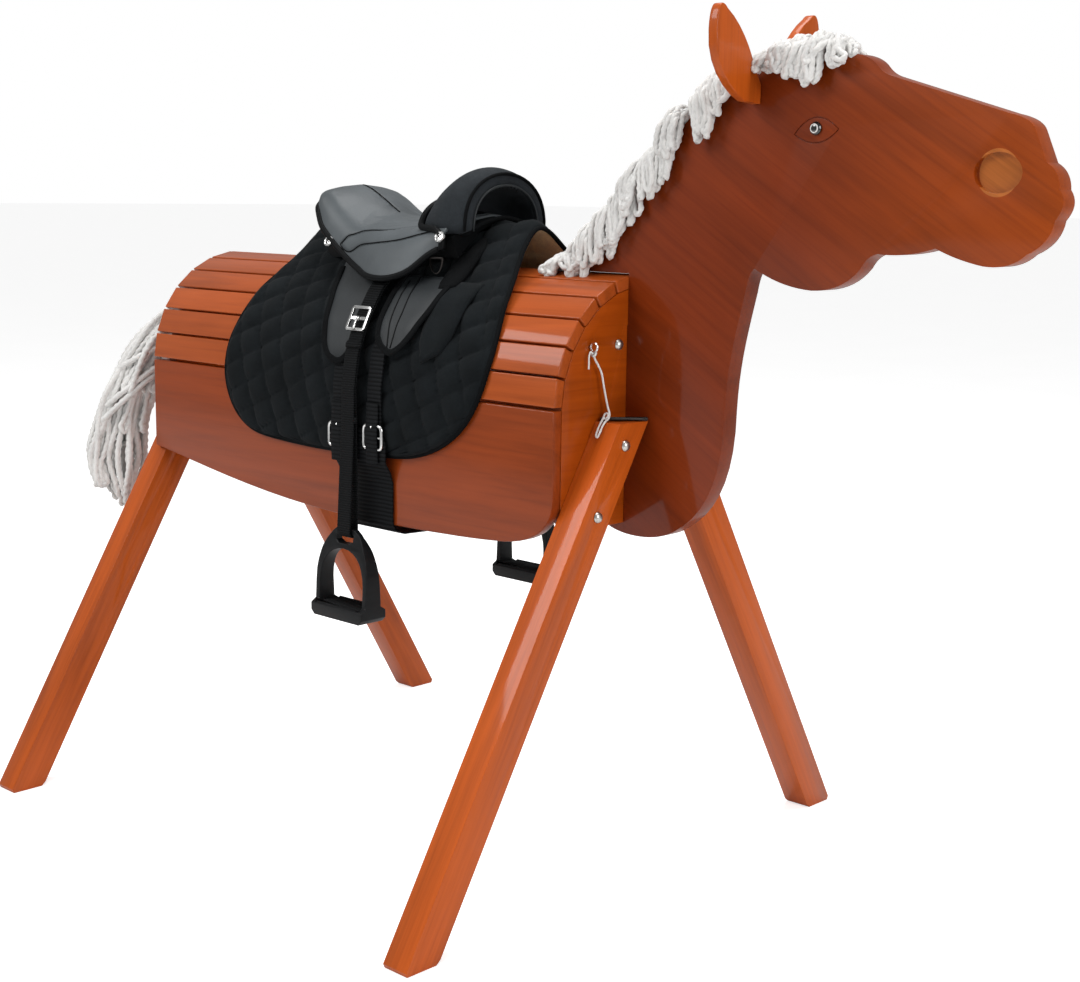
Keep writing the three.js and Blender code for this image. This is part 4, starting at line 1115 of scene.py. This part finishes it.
def add_seat_trim():
    """Thick piping round the seat's edge, its rosettes and the gusset under the cantle."""
    lines = [seat_line(-112 + (SEAT_FRONT + 112) * k / 59) for k in range(60)]
    rear = [p + Vector((-0.003, 0, -0.001)) for p in seat_line(SEAT_REAR)]
    right, left = [line[0] for line in reversed(lines)], [line[-1] for line in lines]
    spots = fine_line(right + rear[1:-1] + left, 5)
    for _ in range(3):
        inner = [(a + b * 2 + c) / 4 for a, b, c in zip(spots, spots[1:], spots[2:])]
        spots = [spots[0], *inner, spots[-1]]
    place(tube_piece("seat_piping", spots, 4.1 * MM, 10), DARK_VINYL, "black_webbing")
    inner = [p + Vector((0, -p.y * 0.055, 0.0052)) for p in spots]
    place(tube_piece("seat_edge_welt", inner, 1.3 * MM), FLAP_VINYL, "grey_vinyl")
    for side, sign in SIDES:
        for k, (x, out, height) in enumerate(ROSETTE_SPOTS):
            add_rosette(f"rosette_{side}_{k + 1}", at(x, sign * out, height), sign)
        front = [at(x, sign * out, height) for x, out, height in
                 ((164, 96, 773), (163, 95, 786), (150, 92, 797), (130, 87, 799), (114, 82, 800))]
        front += [at(110, sign * out, height) for out, height in arch_points(81, 839, 792, 16)[1:9]]
        piping = tube_piece(f"pommel_piping_{side}", smooth_line(front, 6), 4.6 * MM, 10)
        place(piping, DARK_VINYL, "black_webbing")
    back = [(-math.cos(angle) * 70, 772 + math.sin(angle) * 8)
            for angle in (math.pi * k / 12 for k in range(13))]
    under, over = [], []
    for t in (0, 0.25, 0.5, 0.75, 1):
        under.append([at(-92 + 8 * t - abs(y) * 0.10 + 10, y * 0.94, z + 42 * t) for y, z in back])
        over.append([at(-108 + 4 * t + abs(y) * 0.34, y, z + 50 * t) for y, z in back])
    place(slab("cantle_gusset", under, over), FLAP_VINYL, "grey_vinyl")


def add_rosette(name, spot, sign):
    """A domed metal button with a dark cross on it."""
    axis = Vector((0.12, sign * 0.9, 0.42)).normalized()
    profile = [(radius * MM, along * MM) for radius, along in ROSETTE_PROFILE]
    place(lathe(name, profile, spot, axis, 28), BRIGHT, "bright_steel")
    side = axis.cross(Vector((1, 0, 0))).normalized()
    ahead = side.cross(axis)
    bars = []
    for k, turn in enumerate((0.6, 2.17)):
        run = (side * math.cos(turn) + ahead * math.sin(turn)) * 4.2 * MM
        lift = axis * 2.1 * MM
        points = [spot - run + lift, spot + lift * 1.12, spot + run + lift]
        bars.append(sweep(f"{name}_bar_{k}", points, [axis] * 3,
                          strap_section(1.5 * MM, 0.7 * MM)))
    place(join_pieces(f"{name}_cross", bars), DARK_METAL, "dark_steel")


def arch_points(half, top, base, count=26):
    """The pommel's arch as (out, height), from one foot to the other."""
    return [(math.cos(math.pi * i / count) * half,
             base + max(0.0, math.sin(math.pi * i / count)) ** 0.8 * (top - base))
            for i in range(count + 1)]


def add_pommel():
    """The padded arch in front of the seat, with its piping, stitches and lining."""
    steps, columns = 20, 27
    outer, inner = [], []
    for k in range(steps + 1):
        x = 112 + 70 * k / steps
        _, half, top, base, thick = row_at(POMMEL_ROWS, x)
        ease = {0: 1.5, 1: 0.5}.get(min(k, steps - k), 0)
        for rows, less in ((outer, ease), (inner, thick - ease)):
            rows.append([at(x, y, z) for y, z in arch_points(half - less, top - less, base)])
    arch = slab("pommel_arch_pad", inner, outer)
    count = len(outer) * columns
    held = set(range(count))
    for r in range(len(outer)):
        for c in range(columns):
            if r in (0, steps) or c < 2 or c > 24:
                held.add(count + r * columns + c)
    inflate(arch, held, 1.2, 1.6 * MM, 8)
    subdivided(arch)
    place(arch, POMMEL_CLOTH, "pommel_cloth", ROOT, ("pommel_arch",))
    add_pommel_trim()


def add_pommel_trim():
    """Welt, piping and stitches round the arch's front, and the lining over the pad."""
    _, half, top, base, thick = POMMEL_ROWS[-1]
    rim = [at(182.5, y, z) for y, z in arch_points(half - thick + 2, top - thick + 2, base)]
    place(tube_piece("pommel_rim_welt", rim, 1.5 * MM), FLAP_VINYL, "grey_vinyl")
    outer_rim = [at(181, y, z) for y, z in arch_points(half + 0.4, top + 0.2, base)]
    place(tube_piece("pommel_front_piping", outer_rim, 2.2 * MM), BINDING, "black_webbing")
    stitches = []
    for k in range(9):
        angle = math.pi * (0.36 + 0.28 * k / 8)
        y = math.cos(angle) * (half - thick - 2)
        z = base + math.sin(angle) ** 0.8 * (top - thick - 2 - base)
        spots = [at(178, y, z), at(180.5, y, z + 1.6), at(183, y, z + 2.6)]
        stitches.append(tube_piece(f"pommel_stitch_{k}", spots, 0.9 * MM, 6))
    place(join_pieces("pommel_stitches", stitches), FLAP_VINYL, "grey_vinyl")
    lining, floor = [], []
    for x in (106, 120, 136, 152, 168, 180):
        _, half, _, base, thick = row_at(POMMEL_ROWS, max(x, 112))
        rise = interpolated([(106, 14), (140, 8), (180, 2)], x)
        line = [(-half + thick * 0.6, base + 2), (-half * 0.5, base + 12 + rise),
                (0, base + 20 + rise), (half * 0.5, base + 12 + rise),
                (half - thick * 0.6, base + 2)]
        dense = relaxed(even_line(line, 15), 2)
        lining.append([at(x, y, z - 5) for y, z in dense])
        floor.append([at(x, y, z) for y, z in dense])
    place(slab("pommel_lining", lining, floor), BINDING, "black_webbing")


# ---- flaps ----------------------------------------------------------------------------
# Each outline is its rear edge and its front edge, as (x, height) from top to bottom.
REAR_FLAP = ([(-56, 784), (-38, 742), (-19, 704), (-6, 668), (2, 648), (14, 634), (34, 626.5)],
             [(18, 784), (26, 748), (31, 741), (63, 736), (63, 690), (61, 660), (56, 644),
              (46, 632), (34, 626.5)])
FRONT_FLAP = ([(92, 738), (93, 690), (98, 664), (110, 652), (131, 643)],
              [(185, 765), (183, 735), (174, 700), (160, 670), (146, 652), (131, 643)])
FRONT_GUSSET = ([(178, 786), (160, 748), (160, 730), (166, 722)],
                [(184, 786), (196, 776), (197, 740), (192, 726), (166, 722)])
STRAP_COVER = ([(176, 733), (168, 700), (172, 660), (184, 636)],
               [(236, 738), (228, 700), (226, 672), (214, 650), (184, 636)])
FLAP_SEAMS = ([(122, 735), (129, 690), (130, 650)], [(108, 730), (112, 690), (124, 650)])


def add_flaps():
    """Both flaps on each side, with their bindings and seams, the gusset and the strap cover."""
    for side, sign in SIDES:
        layer = Flank(15.2, 14.6, 17.4)
        rear = plate_on(f"flap_{side}_rear", layer, sign, REAR_FLAP, 2.8, 36, 12, 0.5)
        place(rear, FLAP_VINYL, "grey_vinyl", ROOT, (f"flap_{side}",))
        front = plate_on(f"flap_{side}_front", layer, sign, FRONT_FLAP, 2.8, 30, 12, 0.5)
        place(front, FLAP_VINYL, "grey_vinyl")
        for label, edge in (("rear", REAR_FLAP[0][1:] + REAR_FLAP[1][-2:4:-1]),
                            ("front", FRONT_FLAP[0] + FRONT_FLAP[1][-2::-1])):
            tape = trim_on(f"flap_{side}_{label}_binding", layer, sign, edge, 2.4, 9, 3.4)
            place(tape, BINDING, "black_webbing")
        for k, seam in enumerate(FLAP_SEAMS):
            tape = trim_on(f"flap_{side}_seam_{k + 1}", layer, sign, seam, 3.3, 2.2, 1.2)
            place(tape, DARK_VINYL, "black_webbing")
        gusset = plate_on(f"front_gusset_{side}", Flank(13.4), sign, FRONT_GUSSET, 5, 16, 8, 1.0)
        place(gusset, BINDING, "black_webbing")
        cover = plate_on(f"girth_strap_cover_{side}", Flank(12.6), sign, STRAP_COVER, 3.6, 20,
                         10, 1.6)
        place(cover, PAD_CLOTH, "pad_cloth")


# ---- stirrup straps -------------------------------------------------------------------
LEATHER_X = 66
STIRRUP_EYE = (168, 411)
STRAP_EYE_RADIUS, STRAP_HEAD_RADIUS = 6.6, 3.9
STRAP_BAR = (80, 757)
KEEPERS = ((652, 26.4), (556, 24.4))


def strap_path():
    """The stirrup strap's closed middle line as (out, height), down the inner run first."""
    def bend(middle, radius, angles):
        return [(middle[0] + math.cos(a) * radius, middle[1] + math.sin(a) * radius)
                for a in angles]

    inner, outer = (lifted(Flank.CORNERS, [lift] * len(Flank.CORNERS))[1:5]
                    for lift in (22.2, 24.9))
    foot = bend(STIRRUP_EYE, STRAP_EYE_RADIUS, [math.pi + math.pi * k / 8 for k in range(9)])
    head = bend(STRAP_BAR, STRAP_HEAD_RADIUS, [math.radians(46 + 30 * k) for k in range(7)])
    down = relaxed(even_line([(97.4, 738.2), *inner, (162.2, 545), foot[0]], 90), 4)
    up = relaxed(even_line([foot[-1], (167.2, 545), *reversed(outer), (99.2, 741.0)], 90), 4)
    return down + foot[1:-1] + up + head


def add_straps():
    """The stirrup straps as closed loops of webbing, with their keepers."""
    across = Vector((1, 0, 0))
    for side, sign in SIDES:
        spots = [at(LEATHER_X, sign * out, height) for out, height in strap_path()]
        runs = [(after - before).normalized()
                for before, after in zip(spots[-1:] + spots, spots[1:] + spots[:1])]
        normals = [run.cross(across).normalized() for run in runs]
        body = f"strap_{side}"
        section = strap_section(25 * MM, 2.0 * MM)
        band = sweep(f"{body}_webbing", spots, normals, section, closed=True)
        place(band, WEBBING, "black_webbing", body, (f"stirrup_leather_{side}",))
        for k, (z, reach) in enumerate(KEEPERS):
            flank = Flank(reach)
            low = flank.spot(LEATHER_X, sign, z)
            out = flank.normal(sign, z)
            down = out.cross(across).normalized()
            ring = [low + across * a * MM + out * b * MM
                    for a, b in ((-14.2, -5.6), (14.2, -5.6), (14.2, 1.8), (-14.2, 1.8))]
            ring = even_ring(ring, 3 * MM)
            section = [(a, b) for b, a in round_section(4.4 * MM, 10, 0.25)]
            loop = sweep(f"{body}_keeper_{k + 1}", ring, [down] * len(ring), section, closed=True)
            place(loop, WEBBING, "black_webbing", body)


def add_stirrup_treads():
    """The ribbed rubber on each stirrup's foot bar."""
    up = Vector((0, 0, 1))
    for side, _ in SIDES:
        body = f"stirrup_{side}"
        middle = middle_of(body)
        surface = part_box(body)[0].z + 17.4 * MM
        ribs = []
        for k in range(13):
            x = middle.x + (k - 6) * 6.1 * MM
            points = [Vector((x, middle.y + a * MM, surface)) for a in (-17, 0, 17)]
            ribs.append(sweep(f"{body}_rib_{k}", points, [up] * 3,
                              strap_section(3.4 * MM, 2.2 * MM)))
        for k in (-1, 1):
            y = middle.y + k * 19.5 * MM
            points = [Vector((middle.x + a * MM, y, surface)) for a in (-39, 0, 39)]
            ribs.append(sweep(f"{body}_rail_{k}", points, [up] * 3,
                              strap_section(2.6 * MM, 3.0 * MM)))
        place(join_pieces(f"{body}_tread", ribs), RUBBER, "black_plastic", body)


# ---- girth ----------------------------------------------------------------------------
# The billet's middle line: how far above its buckle, and how far off the girth.
BILLET = ((44, 0), (28, 0.2), (12, 1.6), (0, 2.6), (-14, 1.4), (-34, 0.4))


def add_girth():
    """The girth's band, and two billets with their buckles on each side."""
    softened("girth", "band", GIRTH_WEBBING, "black_webbing", width=0.7)
    layer = Flank(17.2)
    across = Vector((1, 0, 0))
    for side, sign in SIDES:
        for k, x in enumerate((38, 106)):
            z = 534 + 3 * k
            out = layer.normal(sign, z)
            spot = layer.spot(x, sign, z, 1.4)
            down = out.cross(across).normalized()
            ring = even_ring([spot + across * a * MM + down * b * MM
                              for a, b in ((-17, -15), (17, -15), (17, 15), (-17, 15))], 3 * MM)
            buckle = sweep(f"girth_buckle_{side}_{k + 1}", ring, [out] * len(ring),
                           round_section(2.2 * MM), closed=True)
            bar = tube_piece("girth_buckle_bar",
                             [spot + across * a * MM for a in (-16, 0, 16)], 1.6 * MM)
            prong = tube_piece("girth_buckle_prong",
                               [spot + down * a * MM + out * b * MM
                                for a, b in ((0, 0), (7, 1.5), (15, 2.2))], 1.5 * MM)
            place(join_pieces(buckle.name, [buckle, bar, prong]), BRIGHT, "bright_steel")
            line = smooth_line([layer.spot(x, sign, z + rise, 2.0 + lift)
                                for rise, lift in BILLET], 5)
            strap = sweep(f"girth_billet_{side}_{k + 1}", line, [out] * len(line),
                          strap_section(22 * MM, 1.8 * MM))
            place(strap, GIRTH_WEBBING, "black_webbing")


# ---- mane and tail --------------------------------------------------------------------
# x, crest height, rise above it, and how far the yarn hangs on the right and on the left.
MANE_ROWS = ((284, 753, 14, 12, 8), (312, 766, 20, 24, 16), (345, 789, 24, 44, 28),
             (385, 829, 24, 54, 30), (427, 870, 24, 58, 30), (470, 917, 24, 58, 30),
             (510, 951, 23, 46, 26), (548, 973, 19, 18, 12), (580, 985, 17, 4, 4),
             (612, 993, 19, 18, 14), (645, 998, 20, 38, 24), (678, 999, 17, 28, 16),
             (694, 997, 9, 5, 4))
# x, y, height and half width of the tail, from its root down.
TAIL_ROWS = ((-391, -14, 702, 8), (-409, -26, 690, 16), (-434, -50, 668, 26),
             (-462, -86, 622, 34), (-486, -112, 560, 38), (-500, -128, 500, 38),
             (-500, -136, 445, 46), (-492, -140, 400, 34), (-486, -140, 376, 14))


def add_mane():
    """Clumps of twisted yarn looped over the crest, more of it falling to the right."""
    dice = random.Random(7)
    vertices, faces = [], []
    clumps = 44
    first, last = MANE_ROWS[0][0], MANE_ROWS[-1][0]
    for n in range(clumps):
        middle = first + (last - first) * (n + dice.uniform(0.2, 0.8)) / clumps
        clump_lean, clump_drop = dice.uniform(-12, 10), dice.uniform(0.55, 1.0)
        for _ in range(6):
            x = middle + dice.uniform(-6, 6)
            _, crest, rise, right, left = row_at(MANE_ROWS, min(max(x, first), last))
            sign = -1 if dice.random() < 0.64 else 1
            drop = (right if sign < 0 else left) * clump_drop * dice.uniform(0.5, 1.0)
            out = dice.uniform(18, 31) if drop > 7 else dice.uniform(4, 12)
            rise = max(rise, 4) * dice.uniform(0.4, 0.95)
            lean, wide = clump_lean + dice.uniform(-7, 7), dice.uniform(3.0, 4.6)
            curl = [Vector([dice.uniform(-reach, reach) for reach in (3.4, 2.2, 3.2)])
                    for _ in range(9)]
            shape = [(0, 0.05, -4), (lean * 0.2 - wide * 0.5, 0.42, rise * 0.86),
                     (lean * 0.6 - wide, 0.92, rise * 0.42), (lean - wide, 1.0, -drop * 0.55),
                     (lean, 1.04, -drop), (lean + wide, 1.0, -drop * 0.6),
                     (lean * 0.6 + wide, 0.94, rise * 0.36),
                     (lean * 0.2 + wide * 0.6, 0.45, rise * 0.92), (2, 0.08, -4)]
            spots = [at(x + a + c.x, sign * (out * b) + c.y * 0.6, crest + z + c.z)
                     for (a, b, z), c in zip(shape, curl)]
            tube_into(vertices, faces, smooth_line(spots, 6), dice.uniform(3.2, 4.2) * MM, 9,
                      dice.uniform(15, 19) * MM)
    place(piece_from("mane_yarn", vertices, faces), YARN, "white_yarn", ROOT, ("mane",))


TAIL_AHEAD = Vector((0.74, -0.67, 0))
TAIL_ACROSS = Vector((0.67, 0.74, 0))


def tail_spot(t, across, deep):
    """A point of the tail at a row number, with its place in the row from -1 to 1 both ways."""
    x, y, z, half = row_at([(i, *row) for i, row in enumerate(TAIL_ROWS)], t)[1:]
    return at(x, y, z) + (TAIL_ACROSS * across * half + TAIL_AHEAD * deep * half * 0.7) * MM


def add_tail():
    """Long loops of twisted yarn, tied round by three shorter ones."""
    dice = random.Random(11)
    vertices, faces = [], []
    for _ in range(34):
        angle, spread = dice.uniform(0, 2 * math.pi), math.sqrt(dice.random()) * 0.92
        across, deep = math.cos(angle) * spread, math.sin(angle) * spread
        last = dice.choice((5.6, 6.4, 7.0, 7.5, 7.9) if spread < 0.6 else (4.2, 5.2, 6.0, 6.8))
        turn, wave = dice.uniform(-0.4, 0.4), dice.uniform(0.06, 0.16)
        phase, pace = dice.uniform(0, 6.28), dice.uniform(1.6, 3.2)
        down, back = [], []
        for k in range(22):
            t = last * k / 21
            ease = min(1, t / 1.5)
            wobble = math.sin(t * pace + phase) * wave * ease
            gap = 0.26 * ease
            side = across + turn * t / 9
            down.append(tail_spot(t, side + wobble, deep + wobble * 0.6))
            back.append(tail_spot(t, side - wobble + gap * math.cos(phase),
                                  deep + gap * math.sin(phase) + wobble * 0.5))
        tip = (down[-1] + back[-1]) / 2 + Vector((0, 0, -8 * MM))
        tube_into(vertices, faces, smooth_line([*down, tip, *reversed(back)], 4),
                  dice.uniform(4.3, 5.2) * MM, 9, dice.uniform(20, 26) * MM)
    for t, tilt in ((3.3, 0.5), (4.1, 0.7), (4.4, 0.8)):
        ring = []
        for k in range(25):
            angle = 2 * math.pi * k / 24 + 0.4
            ring.append(tail_spot(t - tilt * math.cos(angle), math.cos(angle) * 0.98,
                                  math.sin(angle) * 1.05))
        tube_into(vertices, faces, smooth_line(ring, 4), 4.4 * MM, 9, 21 * MM)
    place(piece_from("tail_yarn", vertices, faces), YARN, "white_yarn", ROOT, ("tail",))


def add_eye_rings():
    """A thin pale ring round each eye's middle."""
    for side, sign in SIDES:
        low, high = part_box(f"eye_{side}")
        middle = middle_of(f"eye_{side}")
        y = (high.y if sign > 0 else low.y) - sign * 1.1 * MM
        ring = [Vector((middle.x + math.cos(a) * 4.4 * MM, y, middle.z + math.sin(a) * 4.4 * MM))
                for a in turns(28)]
        hoop = sweep(f"eye_{side}_ring", ring, [Vector((0, sign, 0))] * len(ring),
                     round_section(0.8 * MM, 8), closed=True)
        place(hoop, YARN, "white_yarn")


# ---- floor and light ------------------------------------------------------------------
FLOOR_REACH = 60
FLOOR_GLOW, STUDIO_LIGHT = 0.62, 0.36
# Each lamp's name, its place from the pad's middle and its size in metres, and its watts.
LAMPS = (("key", (-1.2, -2.6, 2.2), (2.0, 1.4), 72), ("top", (0.2, 0.3, 2.6), (2.4, 1.2), 60),
         ("front", (3.2, -0.6, 1.0), (1.4, 1.8), 42))


def add_stage():
    """A pale floor and an even white studio, brighter to the camera than to the object."""
    mesh = bpy.data.meshes.new("floor")
    mesh.from_pydata([(x * FLOOR_REACH, y * FLOOR_REACH, -0.5 * MM)
                      for x, y in ((-1, -1), (1, -1), (1, 1), (-1, 1))], [], [(0, 1, 2, 3)])
    floor = bpy.data.objects.new("floor", mesh)
    bpy.context.collection.objects.link(floor)
    m = Nodes("pale_floor", Roughness=0.8, Emission_Color=(1, 1, 1, 1))
    seen = m.add("ShaderNodeLightPath").outputs["Is Camera Ray"]
    m.link("Emission Strength", m.math("MULTIPLY", seen, FLOOR_GLOW))
    speck = m.noise(m.coordinates, 3, 3, 0.5)
    m.link("Base Color", m.shades(speck, (1, 1, 1), (0.3, 0.86), (0.7, 0.89)))
    mesh.materials.append(m.material)
    world = bpy.data.worlds.new("studio")
    bpy.context.scene.world = world
    world.use_nodes = True
    tree = world.node_tree
    seen = tree.nodes.new("ShaderNodeLightPath").outputs["Is Camera Ray"]
    strength = tree.nodes.new("ShaderNodeMapRange")
    strength.inputs["To Min"].default_value = STUDIO_LIGHT
    tree.links.new(seen, strength.inputs["Value"])
    tree.nodes["Background"].inputs[0].default_value = (1, 1, 1, 1)
    tree.links.new(strength.outputs[0], tree.nodes["Background"].inputs[1])


def add_lamps():
    """Soft lamps that face the saddle."""
    heart = middle_of("saddle_pad")
    for name, offset, size, power in LAMPS:
        data = bpy.data.lights.new(name, "AREA")
        data.shape = "RECTANGLE"
        data.size, data.size_y = size
        data.energy = power
        lamp = bpy.data.objects.new(name, data)
        lamp.location = heart + Vector(offset)
        lamp.rotation_euler = (-Vector(offset)).to_track_quat("-Z", "Y").to_euler()
        bpy.context.collection.objects.link(lamp)


BUILD = (add_camera, add_cord, add_woodwork, add_metalwork, add_pad, add_seat, add_pommel,
         add_flaps, add_straps, add_stirrup_treads, add_girth, add_mane, add_tail, add_eye_rings,
         add_stage, add_lamps)
for step in BUILD:
    step()
bpy.context.scene.view_settings.view_transform = "Standard"
